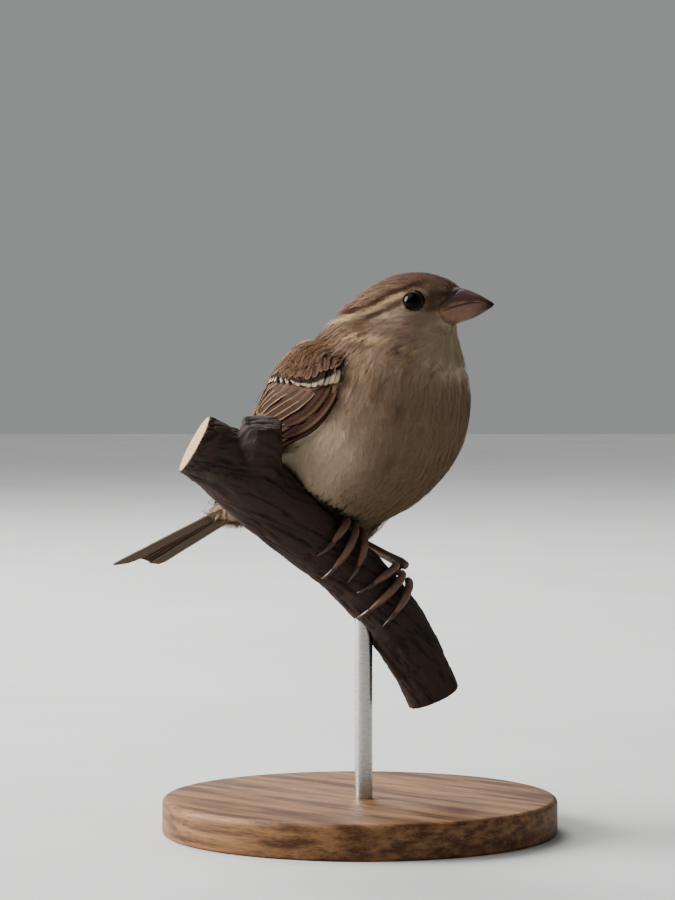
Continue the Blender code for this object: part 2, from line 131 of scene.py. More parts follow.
def circle(sides: int) -> tuple[Array, Array]:
    """The cosines and sines of even steps round a full turn."""
    turn = np.linspace(0, 2 * np.pi, sides, endpoint=False)
    return np.cos(turn), np.sin(turn)


def between(ends: Sequence, share: Array | float) -> Array:
    """A value, or a row of them, a share of the way from the first end to the second."""
    return np.array(ends[0]) * (1 - share) + np.array(ends[1]) * share


def mix(first: Array | Colour, second: Array | Colour, share: Array | float) -> Array:
    """Two colours, or rows of colours, mixed by a share or a row of shares."""
    share = np.asarray(share, float)[..., None]
    return np.asarray(first) * (1.0 - share) + np.asarray(second) * share


def painted(base: Array | Colour, *layers: tuple[Array | Colour, Array | float]) -> Array:
    """A colour with others laid over it in turn, each by its own share."""
    for colour, share in layers:
        base = mix(base, colour, share)
    return base


def curve_at(rows: Array, places: Array) -> Array:
    """A smooth curve through rows of numbers.

    Args:
        rows: the control values, one row each.
        places: where to read the curve, counted in rows.

    Returns:
        One row for each place.
    """
    rows = np.asarray(rows, float)
    last = len(rows) - 1
    places = np.clip(np.asarray(places, float), 0.0, last)
    index = np.minimum(places.astype(int), last - 1)
    t = (places - index)[:, None]
    before, start = rows[np.maximum(index - 1, 0)], rows[index]
    end, after = rows[index + 1], rows[np.minimum(index + 2, last)]
    return (
        start * (2 * t**3 - 3 * t**2 + 1)
        + (end - before) / 2 * (t**3 - 2 * t**2 + t)
        + end * (3 * t**2 - 2 * t**3)
        + (after - start) / 2 * (t**3 - t**2)
    )


def value_noise(points: Array, size: float, seed: int = 0) -> Array:
    """Smooth noise from -1 to 1 at points.

    Args:
        points: (n, 3) positions.
        size: the width of one lump, in the same unit.
        seed: picks another pattern.

    Returns:
        One value for each point.
    """
    table = np.random.default_rng(seed).uniform(-1.0, 1.0, (32, 32, 32))
    scaled = np.asarray(points, float) / size
    cell = np.floor(scaled).astype(int)
    part = scaled - cell
    part = part * part * (3.0 - 2.0 * part)
    total = np.zeros(len(scaled))
    for corner in range(8):
        step = np.array([corner & 1, (corner >> 1) & 1, (corner >> 2) & 1])
        x, y, z = ((cell + step) % 32).T
        total += np.prod(np.where(step == 1, part, 1.0 - part), axis=1) * table[x, y, z]
    return total


# ---- places ----
def box_of(node: str) -> tuple[Array, Array]:
    """The low and high corners of a node's box."""
    low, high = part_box(node)
    return np.array(low), np.array(high)


def middle_of(node: str) -> Array:
    """The middle of a node's box."""
    low, high = box_of(node)
    return (low + high) / 2


def place_in(node: str, *shares: float) -> Array:
    """A point given as shares of a node's box."""
    low, high = box_of(node)
    return low + (high - low) * shares


def nearest(tree: BVHTree, points: Array) -> tuple[Array, Array]:
    """The nearest places on a surface, and how far off they are."""
    found = [tree.find_nearest(Vector(point)) for point in points]
    return np.array([hit[0] for hit in found]), np.array([hit[3] for hit in found])


def point_tree(points: Array) -> KDTree:
    """A tree for finding the points near a place."""
    tree = KDTree(len(points))
    for number, point in enumerate(points.tolist()):
        tree.insert(point, number)
    tree.balance()
    return tree


def thinned(points: Array, gaps: Array) -> list[int]:
    """The numbers of the points that stay when none may lie in the gap round an earlier one.

    Args:
        points: places, the first ones before the later.
        gaps: the room round each, in the same unit.

    Returns:
        The numbers, in order.
    """
    tree, free, kept = point_tree(points), np.ones(len(points), bool), []
    for number, point in enumerate(points):
        if free[number]:
            kept.append(number)
            for _, near, _ in tree.find_range(point, gaps[number]):
                free[near] = False
    return kept


def scatter(corners: Array, spacing: Array, seed: int) -> tuple[Array, Array]:
    """Points spread over triangles, no two nearer than the spacing there.

    Args:
        corners: (n, 3, 3) triangles.
        spacing: the least distance between points, for each triangle.
        seed: for the random choice.

    Returns:
        Points and the normals of their triangles.
    """
    rng = np.random.default_rng(seed)
    cross = np.cross(corners[:, 1] - corners[:, 0], corners[:, 2] - corners[:, 0])
    share = np.linalg.norm(cross, axis=1) / 2 / spacing**2
    count = int(share.sum() * 4.5)
    picked = rng.choice(len(share), count, p=share / share.sum())
    a, b = rng.random(count), rng.random(count)
    flip = a + b > 1
    a[flip], b[flip] = 1 - a[flip], 1 - b[flip]
    tri = corners[picked]
    points = tri[:, 0] + a[:, None] * (tri[:, 1] - tri[:, 0]) + b[:, None] * (tri[:, 2] - tri[:, 0])
    kept = thinned(points, spacing[picked])
    return points[kept], unit(cross[picked[kept]])


# ---- meshes ----
def mesh_arrays(mesh: bpy.types.Mesh) -> tuple[Array, Array]:
    """A mesh's points and triangles."""
    points = np.empty(len(mesh.vertices) * 3)
    mesh.vertices.foreach_get("co", points)
    mesh.calc_loop_triangles()
    faces = np.empty(len(mesh.loop_triangles) * 3, np.int32)
    mesh.loop_triangles.foreach_get("vertices", faces)
    return points.reshape(-1, 3), faces.reshape(-1, 3)


def linked(name: str, data: bpy.types.ID) -> bpy.types.Object:
    """A new object in the scene."""
    made = bpy.data.objects.new(name, data)
    bpy.context.scene.collection.objects.link(made)
    return made


@dataclass
class Solid:
    """Points and triangles in metres."""

    points: Array
    faces: Array

    @classmethod
    def of_nodes(cls, frame: dict, *nodes: str) -> Solid:
        """The fixed solids of some nodes, with the corners that they share made one point.

        Args:
            frame: the loaded frame.
            nodes: node names.

        Returns:
            One solid that holds them all.
        """
        parts = [cls(*mesh_arrays(frame["nodes"][node].data)) for node in nodes]
        whole = parts[0].joined(*parts[1:])
        _, first, back = np.unique(
            np.round(whole.points, 7), axis=0, return_index=True, return_inverse=True,
        )
        return cls(whole.points[first], back.reshape(-1)[whole.faces])

    @classmethod
    def of_rings(cls, rings: Array, start: Array | None = None, end: Array | None = None) -> Solid:
        """A closed solid from rings of points.

        Args:
            rings: (n, m, 3) points.
            start: a point that closes the first ring; without one the tube closes on itself.
            end: a point that closes the last ring.

        Returns:
            The solid, facing out.
        """
        count, sides = rings.shape[:2]
        index = np.arange(count * sides).reshape(count, sides)
        points = rings.reshape(-1, 3)
        if start is None:
            faces = grid_faces(np.concatenate([index, index[:1]]))
        else:
            faces = grid_faces(index)
            points = np.concatenate([points, [start, end]])
            for ring, pole in ((index[0], count * sides), (index[-1][::-1], count * sides + 1)):
                fan = np.stack([ring, np.roll(ring, -1), np.full(sides, pole)], axis=1)
                faces = np.concatenate([faces, fan])
        if np.linalg.det(points[faces] - points.mean(axis=0)).sum() < 0:
            faces = faces[:, ::-1]
        return cls(points, faces)

    def joined(self, *others: Solid) -> Solid:
        """This solid and others as one."""
        points, faces = self.points, self.faces
        for other in others:
            faces = np.concatenate([faces, other.faces + len(points)])
            points = np.concatenate([points, other.points])
        return Solid(points, faces)

    def tree(self) -> BVHTree:
        """A tree for finding the nearest place on it."""
        return BVHTree.FromPolygons(self.points.tolist(), self.faces.tolist())

    def normals(self) -> Array:
        """The smooth normal at each point."""
        corners = self.points[self.faces]
        cross = np.cross(corners[:, 1] - corners[:, 0], corners[:, 2] - corners[:, 0])
        total = np.zeros_like(self.points)
        for k in range(3):
            np.add.at(total, self.faces[:, k], cross)
        return unit(total)

    def grown(self, by: Array | float) -> Solid:
        """A copy with each point moved out along its normal, by some millimetres."""
        return Solid(self.points + self.normals() * np.reshape(by, (-1, 1)) * MM, self.faces)

    def relaxed(self, rounds: int) -> Solid:
        """A copy with each point moved half of the way to the middle of its neighbours.

        Args:
            rounds: how many times the points are moved.

        Returns:
            The smoother solid.
        """
        ends = np.concatenate([self.faces[:, [0, 1]], self.faces[:, [1, 2]], self.faces[:, [2, 0]]])
        ends = np.concatenate([ends, ends[:, ::-1]])
        count = np.bincount(ends[:, 0], minlength=len(self.points))[:, None]
        points = self.points.copy()
        for _ in range(rounds):
            total = np.zeros_like(points)
            np.add.at(total, ends[:, 0], points[ends[:, 1]])
            points += 0.5 * (total / np.maximum(count, 1) - points)
        return Solid(points, self.faces)

    def changed(self, kind: str, **settings: object) -> Solid:
        """A copy put through one modifier with some of its properties set.

        Args:
            kind: the modifier's type.
            settings: its properties.

        Returns:
            The solid as the modifier leaves it.
        """
        mesh = bpy.data.meshes.new("work")
        mesh.from_pydata(self.points.tolist(), [], self.faces.tolist())
        made = linked("work", mesh)
        step = made.modifiers.new(kind, kind)
        for key, value in settings.items():
            setattr(step, key, value)
        bpy.context.view_layer.update()
        shown = made.evaluated_get(bpy.context.evaluated_depsgraph_get())
        changed = Solid(*mesh_arrays(shown.to_mesh()))
        shown.to_mesh_clear()
        bpy.data.objects.remove(made)
        bpy.data.meshes.remove(mesh)
        return changed

    def remeshed(self, voxel: float) -> Solid:
        """A copy made one closed skin over all its parts, with faces of a size in millimetres."""
        return self.changed("REMESH", mode="VOXEL", voxel_size=voxel * MM)


def grid_faces(index: Array) -> Array:
    """Triangles between rows of point numbers, each row closed on itself."""
    a, b = index[:-1], index[1:]
    c, d = np.roll(b, -1, axis=1), np.roll(a, -1, axis=1)
    quads = np.stack([a, b, c, d], axis=-1).reshape(-1, 4)
    return np.concatenate([quads[:, [0, 1, 2]], quads[:, [0, 2, 3]]])


def add_piece(
    name: str,
    solid: Solid,
    finish: Finish,
    replaces: Sequence[str] = (),
    values: dict[str, Array] | None = None,
    uv: Array | None = None,
    normals: Array | None = None,
) -> None:
    """Adds a finished piece of the model, which rides on its body.

    Args:
        name: the piece's name.
        solid: its points and triangles.
        finish: what it is made of.
        replaces: the nodes that it stands for.
        values: what its finish reads at its points, with 1 or 3 numbers each.
        uv: a place in the unit square for each corner of each triangle.
        normals: shading normals at its points, where they aren't the mesh's own.
    """
    mesh = bpy.data.meshes.new(name)
    mesh.vertices.add(len(solid.points))
    mesh.vertices.foreach_set("co", np.ascontiguousarray(solid.points, np.float32).ravel())
    faces = np.ascontiguousarray(solid.faces, np.int32)
    mesh.loops.add(faces.size)
    mesh.loops.foreach_set("vertex_index", faces.ravel())
    mesh.polygons.add(len(faces))
    mesh.polygons.foreach_set("loop_start", np.arange(0, faces.size, 3, dtype=np.int32))
    mesh.polygons.foreach_set("use_smooth", np.ones(len(faces), bool))
    mesh.update(calc_edges=True)
    for key, rows in (values or {}).items():
        rows = np.asarray(rows, np.float32)
        if rows.ndim == 2:
            rows = np.concatenate([rows, np.ones((len(rows), 1), np.float32)], axis=1)
            layer = mesh.attributes.new(key, "FLOAT_COLOR", "POINT")
            layer.data.foreach_set("color", rows.ravel())
        else:
            mesh.attributes.new(key, "FLOAT", "POINT").data.foreach_set("value", rows)
    if uv is not None:
        layer = mesh.uv_layers.new(name="OFBake")
        layer.data.foreach_set("uv", np.ascontiguousarray(uv, np.float32).ravel())
    if normals is not None:
        mesh.normals_split_custom_set_from_vertices(normals.tolist())
    mesh.materials.append(finish.make())
    made = linked(name, mesh)
    if replaces:
        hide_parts(*replaces)
    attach(made, BODY)
    log.info("%s: %d triangles", name, len(faces))


# ---- finishes ----
class Nodes:
    """A short way to write a material's nodes."""

    def __init__(self, name: str) -> None:
        """Starts a material with one Principled shader."""
        self.material = bpy.data.materials.new(name)
        self.material.use_nodes = True
        self.tree = self.material.node_tree
        self.shader = self.tree.nodes["Principled BSDF"]

    def add(self, kind: str, **settings: object) -> bpy.types.Node:
        """A node with some of its properties set."""
        node = self.tree.nodes.new("ShaderNode" + kind)
        for key, value in settings.items():
            setattr(node, key, value)
        return node

    def put(self, node: bpy.types.Node, name: str | int, value: object) -> None:
        """Links a socket to an input of a node, or sets the input's own value."""
        if isinstance(value, bpy.types.NodeSocket):
            self.tree.links.new(value, node.inputs[name])
        else:
            node.inputs[name].default_value = value

    def set(self, **values: object) -> None:
        """Sets the shader's inputs by name, with _ for a space: a value, or a socket to link."""
        for key, value in values.items():
            self.put(self.shader, key.replace("_", " "), value)

    def attribute(self, name: str, colour: bool = True) -> bpy.types.NodeSocket:
        """What the mesh carries at its points: a colour, or one number."""
        return self.add("Attribute", attribute_name=name).outputs["Color" if colour else "Fac"]

    def stretched(self, *scale: float) -> bpy.types.NodeSocket:
        """Object space, scaled along its three axes."""
        node = self.add("Mapping")
        self.put(node, "Scale", scale)
        self.put(node, "Vector", self.add("TexCoord").outputs["Object"])
        return node.outputs[0]

    def noise(self, scale: float, detail: float = 3.0, rough: float = 0.55,
              place: bpy.types.NodeSocket | None = None) -> bpy.types.NodeSocket:
        """Noise in lumps per metre, in object space unless a place is given."""
        node = self.add("TexNoise")
        self.put(node, "Scale", scale)
        self.put(node, "Detail", detail)
        self.put(node, "Roughness", rough)
        self.put(node, "Vector", place or self.add("TexCoord").outputs["Object"])
        return node.outputs["Fac"]

    def ramp(self, value: bpy.types.NodeSocket, low: float, high: float, to_low: float = 0.0,
             to_high: float = 1.0) -> bpy.types.NodeSocket:
        """A value carried from one range to another."""
        node = self.add("MapRange")
        for index, number in enumerate((value, low, high, to_low, to_high)):
            self.put(node, index, number)
        return node.outputs[0]

    def grain(self, scale: float, detail: float, low: float = 0.0,
              high: float = 1.0) -> bpy.types.NodeSocket:
        """Noise spread over a range, for an uneven tone."""
        return self.ramp(self.noise(scale, detail), 0.3, 0.7, low, high)

    def math(self, operation: str, first: object, second: object = 0.0) -> bpy.types.NodeSocket:
        """One sum of two values or sockets."""
        node = self.add("Math", operation=operation)
        self.put(node, 0, first)
        self.put(node, 1, second)
        return node.outputs[0]

    def blend(self, first: object, second: object, share: object) -> bpy.types.NodeSocket:
        """Two colours mixed."""
        node = self.add("Mix", data_type="RGBA")
        for index, value in ((0, share), (6, first), (7, second)):
            self.put(node, index, (*value, 1.0) if isinstance(value, tuple) else value)
        return node.outputs[2]

    def shaded(self, colour: object, tone: bpy.types.NodeSocket) -> bpy.types.NodeSocket:
        """A colour made lighter or darker."""
        node = self.add("VectorMath", operation="SCALE")
        self.put(node, 0, colour)
        self.put(node, "Scale", tone)
        return node.outputs[0]

    def bump(self, height: bpy.types.NodeSocket, distance: float, strength: float) -> None:
        """A bump of the surface, some millimetres high."""
        node = self.add("Bump")
        self.put(node, "Strength", strength)
        self.put(node, "Distance", distance * MM)
        self.put(node, "Height", height)
        self.set(Normal=node.outputs["Normal"])


@dataclass(frozen=True)
class Finish:
    """What a surface is made of. Each kind of finish fills in its own nodes."""

    name: str
    roughness: float = 0.8

    def make(self) -> bpy.types.Material:
        """The material, made once."""
        name = self.name + "_finish"
        found = bpy.data.materials.get(name)
        if found:
            return found
        nodes = Nodes(name)
        nodes.set(Roughness=self.roughness)
        self.dress(nodes)
        return nodes.material

    def dress(self, nodes: Nodes) -> None:
        """Fills in the nodes."""
        raise NotImplementedError


@dataclass(frozen=True)
class FeatherFinish(Finish):
    """Soft barbs that carry their markings in the mesh."""

    def dress(self, nodes: Nodes) -> None:
        """Markings from the mesh, with a fine uneven tone."""
        colour = nodes.shaded(nodes.attribute("Plumage"), nodes.grain(9000.0, 2.0, 0.90, 1.10))
        nodes.set(Base_Color=colour, Specular_IOR_Level=0.0)


@dataclass(frozen=True)
class VaneFinish(Finish):
    """The closed vane of a large feather, with its barbs as fine slanting ribs."""

    pitch: float = 0.22  # between two ribs

    def dress(self, nodes: Nodes) -> None:
        """Markings and ribs from the mesh."""
        turns = nodes.math("MULTIPLY", nodes.attribute("Barb", False), 2 * math.pi / self.pitch)
        ribs = nodes.ramp(nodes.math("SINE", turns), -1.0, 1.0)
        tone = nodes.math("MULTIPLY", nodes.ramp(ribs, 0.0, 1.0, 0.86, 1.08),
                          nodes.grain(2500.0, 3.0, 0.85, 1.12))
        colour = nodes.shaded(nodes.attribute("Plumage"), tone)
        nodes.set(Base_Color=colour, Specular_IOR_Level=0.12)
        nodes.bump(ribs, 0.03, 0.6)


# ---- the bird's shape, read from its solids ----
BODY_NODES = ("rump", "trunk", "neck", "head")
SKIN_NODES = BODY_NODES + ("thigh_left", "wing_left_coverts", "wing_right_coverts")


class Side(Enum):
    """A side of the bird, with the sign of its angles round the spine."""

    RIGHT = ("right", 1.0)
    LEFT = ("left", -1.0)

    @property
    def word(self) -> str:
        """The side's name in a node's name."""
        return self.value[0]

    @property
    def sign(self) -> float:
        """1 on the right and -1 on the left."""
        return self.value[1]

    @property
    def wing(self) -> tuple[str, ...]:
        """The nodes of its wing."""
        return tuple(f"wing_{self.word}_{part}" for part in ("coverts", "secondaries", "primaries"))

    @property
    def toes(self) -> list[str]:
        """The nodes of its toes, the hind one last."""
        return [f"toe_{self.word}_{name}" for name in ("inner", "middle", "outer", "hind")]


@dataclass
class Figure:
    """The bird's form: its solids, a curve through its body, and the frame of its head.

    A place on the body is told by how far along the curve it is, in millimetres from the root of
    the tail, and by its angle round the curve, in degrees from the back and positive on the right.
    """

    frame: dict
    steps: int = 240
    blend: float = 3.0  # over which the curve's places are blended
    trunk_line: tuple[Pair, ...] = (
        # shares of the trunk's box, in X and in Z, that the curve passes through
        (0.05, 0.22), (0.19, 0.285), (0.33, 0.37), (0.48, 0.49), (0.61, 0.62), (0.685, 0.76),
    )
    face_edge: tuple[Pair, ...] = (
        # up from the eyes, and how far ahead of them the feathers of the face end
        (-5.2, 6.4), (-3.6, 6.0), (-2.3, 5.2), (-1.3, 5.4), (0.1, 6.2), (1.5, 7.0), (2.7, 7.7),
        (3.6, 7.2), (4.3, 6.8),
    )
    chin: float = -5.6  # up from the eyes, where the face's edge begins
    face_half: tuple[Pair, ...] = (
        # ahead of the eyes, and the most that the face may reach to each side at the mouth
        (3.0, 9.0), (4.2, 6.3), (5.2, 4.75), (6.6, 4.0),
    )
    round_socket: tuple[float, ...] = (3.7, 4.4, 5.1)  # from an eye, where the head is read
    socket_cover: float = 3.5  # the radius that is covered over an eye
    eyes: dict[Side, Array] = field(init=False)
    head_right: Array = field(init=False)
    head_middle: Array = field(init=False)
    head_forward: Array = field(init=False)
    bill_tip: Array = field(init=False)
    bill_root: Array = field(init=False)
    covers: list[Solid] = field(init=False)  # over the sockets of the eyes
    bare: Solid = field(init=False)  # the body with its thigh and without its wings
    outer: BVHTree = field(init=False)
    clothed: BVHTree = field(init=False)
    wings: BVHTree = field(init=False)
    spine: Array = field(init=False)
    along: Array = field(init=False)
    ahead: Array = field(init=False)
    right: Array = field(init=False)
    up: Array = field(init=False)
    marks: dict[str, float] = field(init=False)

    def __post_init__(self) -> None:
        """Reads the solids."""
        self.read_head()
        self.covers = [self.over_socket(side) for side in Side]
        body, wings = (*BODY_NODES, "thigh_left"), (*Side.LEFT.wing, *Side.RIGHT.wing)
        self.bare = self.with_sockets(*body)
        self.outer = self.bare.tree()
        self.clothed = self.with_sockets(*body, *wings).tree()
        self.wings = Solid.of_nodes(self.frame, *wings).tree()
        self.lay_spine()

    def read_head(self) -> None:
        """Finds the head's own axes from its eyes and its bill."""
        self.eyes = {side: middle_of("eye_" + side.word) for side in Side}
        self.head_right = unit(self.eyes[Side.RIGHT] - self.eyes[Side.LEFT])
        self.head_middle = (self.eyes[Side.RIGHT] + self.eyes[Side.LEFT]) / 2
        self.head_forward = unit(np.cross(UPWARD, self.head_right))
        bill = Solid.of_nodes(self.frame, "bill_upper").points
        ahead = (bill - self.head_middle) @ self.head_forward
        self.bill_tip = bill[np.argmax(ahead)]
        self.bill_root = self.head_middle + self.head_forward * ahead.min()

    def with_sockets(self, *nodes: str) -> Solid:
        """Some nodes, with the head's surface carried on over the sockets of the eyes."""
        return Solid.of_nodes(self.frame, *nodes).joined(*self.covers)

    def over_socket(self, side: Side) -> Solid:
        """The surface of the head carried on over one socket.

        Args:
            side: of the eye.

        Returns:
            An open disc that faces out, level with the head round the socket.
        """
        head = Solid.of_nodes(self.frame, "head").tree()
        axis = self.head_right * side.sign
        ring = np.stack(circle(32), axis=1)

        def terms(places: Array) -> Array:
            """The terms of a curved surface at flat places."""
            x, y = places.T
            return np.stack([np.ones(len(x)), x, y, x * x, x * y, y * y], axis=1)

        def raised(places: Array, height: Array) -> Array:
            """Flat places round the eye, raised from its middle along its axis."""
            flat = places[:, :1] * self.head_forward + places[:, 1:] * UPWARD
            return self.eyes[side] + (flat + height[:, None] * axis) * MM

        known = np.concatenate([ring * radius for radius in self.round_socket])
        hits = [head.ray_cast(Vector(start), Vector(-axis))[0]
                for start in raised(known, np.full(len(known), 12.0))]
        found = [number for number, hit in enumerate(hits) if hit is not None]
        heights = [(np.array(hits[number]) - self.eyes[side]) @ axis / MM for number in found]
        surface = np.linalg.lstsq(terms(known[found]), np.array(heights), rcond=None)[0]
        radii = np.linspace(0.5, self.socket_cover, 7)
        places = np.concatenate([[(0.0, 0.0)], *(ring * radius for radius in radii)])
        index = 1 + np.arange(len(places) - 1).reshape(len(radii), -1)
        fan = np.stack([np.zeros_like(index[0]), index[0], np.roll(index[0], -1)], axis=1)
        bands = (grid_faces(index[k:k + 2]) for k in range(len(radii) - 1))
        faces = np.concatenate([fan, *bands])
        points = raised(places, terms(places) @ surface)
        corner = points[fan[0]]
        if np.cross(corner[1] - corner[0], corner[2] - corner[0]) @ axis < 0:
            faces = faces[:, ::-1]
        return Solid(points, faces)

    def lay_spine(self) -> None:
        """Lays the curve through the body and numbers its places."""
        neck = middle_of("neck")
        rows = [place_in("rump", 0.0, 0.5, 0.10), place_in("rump", 0.40, 0.5, 0.27)]
        rows += [place_in("trunk", x, 0.5, z) for x, z in self.trunk_line]
        rows += [
            np.array([neck[0] + 0.4 * MM, 0.4 * MM, neck[2] + 0.2 * MM]),
            self.head_middle - self.head_forward * 3.2 * MM - (0, 0, 0.6 * MM),
            self.bill_root + self.head_forward * 1.5 * MM,
            self.bill_tip,
        ]
        self.spine = curve_at(np.array(rows), np.linspace(0, len(rows) - 1, self.steps))
        pace = np.linalg.norm(np.diff(self.spine, axis=0), axis=1)
        self.along = np.concatenate([[0.0], np.cumsum(pace)]) / MM
        self.ahead = unit(np.gradient(self.spine, axis=0))
        self.marks = {
            "rump": self.along_of(place_in("trunk", 0.05, 0.5, 0.2)),
            "neck": self.along_of(place_in("neck", 0.35, 0.5, 0.3)),
            "head": self.along_of(neck),
            "bill": self.along_of(self.bill_root),
        }
        turn = smooth(self.along, self.marks["head"] - 9.0, self.marks["head"] + 5.0)[:, None]
        right = unit((1 - turn) * np.array([0.0, -1.0, 0.0]) + turn * self.head_right)
        self.right = square_to(right, self.ahead)
        self.up = np.cross(self.right, self.ahead)

    def along_of(self, point: Array) -> float:
        """How far along the curve the nearest place to a point is."""
        return float(self.along[np.argmin(np.linalg.norm(self.spine - point, axis=1))])

    def locate(self, points: Array) -> tuple[Array, Array]:
        """Places of points on the body.

        Args:
            points: (n, 3) positions.

        Returns:
            How far along the curve, and the angle round it in degrees.
        """
        along, angle = np.empty(len(points)), np.empty(len(points))
        batch = 20000
        for start in range(0, len(points), batch):
            part = slice(start, start + batch)
            square = ((points[part, None] - self.spine[None]) ** 2).sum(2)
            nearness = square - square.min(1, keepdims=True)
            weight = np.exp(-nearness / (2 * (self.blend * MM) ** 2))
            weight /= weight.sum(1, keepdims=True)
            along[part] = weight @ self.along
            out, up, right = points[part] - weight @ self.spine, weight @ self.up, weight @ self.right
            angle[part] = np.degrees(np.arctan2((out * right).sum(1), (out * up).sum(1)))
        return along, angle

    def read_at(self, along: Array, rows: Array) -> Array:
        """The curve's points or directions at places along it."""
        return np.stack([np.interp(along, self.along, rows[:, k]) for k in range(3)], axis=-1)

    def surface(self, along: Array, angle: Array) -> tuple[Array, Array]:
        """Points and outward normals of the outermost surface, wings included.

        Args:
            along: places along the curve.
            angle: angles round it, in degrees.

        Returns:
            Points and normals, in metres.
        """
        far, missed = 0.05, 0.004
        centre = self.read_at(along, self.spine)
        up, right = unit(self.read_at(along, self.up)), unit(self.read_at(along, self.right))
        turn = np.radians(angle)[:, None]
        out = unit(up * np.cos(turn) + right * np.sin(turn))
        points, normals = np.empty_like(centre), np.empty_like(centre)
        for i, (middle, way) in enumerate(zip(centre, out)):
            place, normal, _, _ = self.clothed.ray_cast(Vector(middle + way * far), Vector(-way), far)
            points[i] = middle + way * missed if place is None else place
            normals[i] = way if normal is None else normal
        return points, normals

    def in_head(self, points: Array) -> Array:
        """Points in the head's own axes from between the eyes: forward, to the side, up, in mm."""
        out = (points - self.head_middle) / MM
        return np.stack([out @ self.head_forward, np.abs(out @ self.head_right), out[:, 2]])

    def from_head(self, ahead: Array, side: Array, up: Array) -> Array:
        """Points given in the head's own axes, with the side positive on the right, in mm."""
        place = np.stack(np.broadcast_arrays(ahead, side, up), axis=-1)
        return self.head_middle + place @ np.array([self.head_forward, self.head_right, UPWARD]) * MM

    def drawn_in(self, points: Array, inset: float = 0.0) -> Array:
        """Points of the face, drawn in where it narrows to the corners of the mouth.

        Args:
            points: positions in metres.
            inset: how much further in, in millimetres.

        Returns:
            The moved points.
        """
        ahead, side, up = self.in_head(points)
        limit = np.interp(ahead, *zip(*self.face_half)) - inset
        share = bump(up, -1.6, 1.2, 1.6) * smooth(ahead, 2.5, 4.0)
        excess = np.maximum(side - limit, 0.0) * share * MM
        way = np.sign((points - self.head_middle) @ self.head_right)
        return points - self.head_right * (way * excess)[:, None]

    def past_face(self, points: Array) -> Array:
        """Whether points lie ahead of the face's edge, where the bill is bare."""
        ahead, _, up = self.in_head(points)
        return (up > self.chin) & (ahead > np.interp(up, *zip(*self.face_edge)) - 0.3)


# ---- markings ----
@dataclass(frozen=True)
class Plumage:
    """The colours of a female house sparrow, as linear values."""

    crown: Colour = (0.230, 0.150, 0.112)
    neck_side: Colour = (0.150, 0.102, 0.070)
    crown_streak: Colour = (0.058, 0.030, 0.021)
    brow: Colour = (0.340, 0.245, 0.155)
    eye_stripe: Colour = (0.048, 0.029, 0.019)
    cheek: Colour = (0.300, 0.218, 0.160)
    lore: Colour = (0.095, 0.060, 0.040)
    throat: Colour = (0.400, 0.325, 0.240)
    collar: Colour = (0.500, 0.375, 0.215)
    nape: Colour = (0.165, 0.100, 0.066)
    breast: Colour = (0.300, 0.215, 0.150)
    belly: Colour = (0.420, 0.330, 0.240)
    # flank: the flanks' own pale buff, made paler still as painted light
    flank: Colour = (0.600, 0.490, 0.360)
    # middle: painted shade down the middle of the lower breast and belly
    middle: Colour = (0.165, 0.120, 0.078)
    vent: Colour = (0.240, 0.180, 0.120)
    down: Colour = (0.680, 0.640, 0.580)
    mantle: Colour = (0.150, 0.088, 0.050)
    mantle_dark: Colour = (0.032, 0.023, 0.018)
    mantle_buff: Colour = (0.340, 0.215, 0.115)
    rump: Colour = (0.175, 0.120, 0.082)
    chestnut: Colour = (0.150, 0.087, 0.060)
    brace: Colour = (0.340, 0.235, 0.145)
    panel: Colour = (0.060, 0.028, 0.018)
    feather_dark: Colour = (0.024, 0.014, 0.011)
    feather_brown: Colour = (0.075, 0.044, 0.029)
    greater: Colour = (0.050, 0.026, 0.016)
    edge_buff: Colour = (0.270, 0.172, 0.100)
    edge_pale: Colour = (0.330, 0.240, 0.160)
    bar: Colour = (0.310, 0.250, 0.172)
    bar_end: Colour = (0.200, 0.135, 0.092)


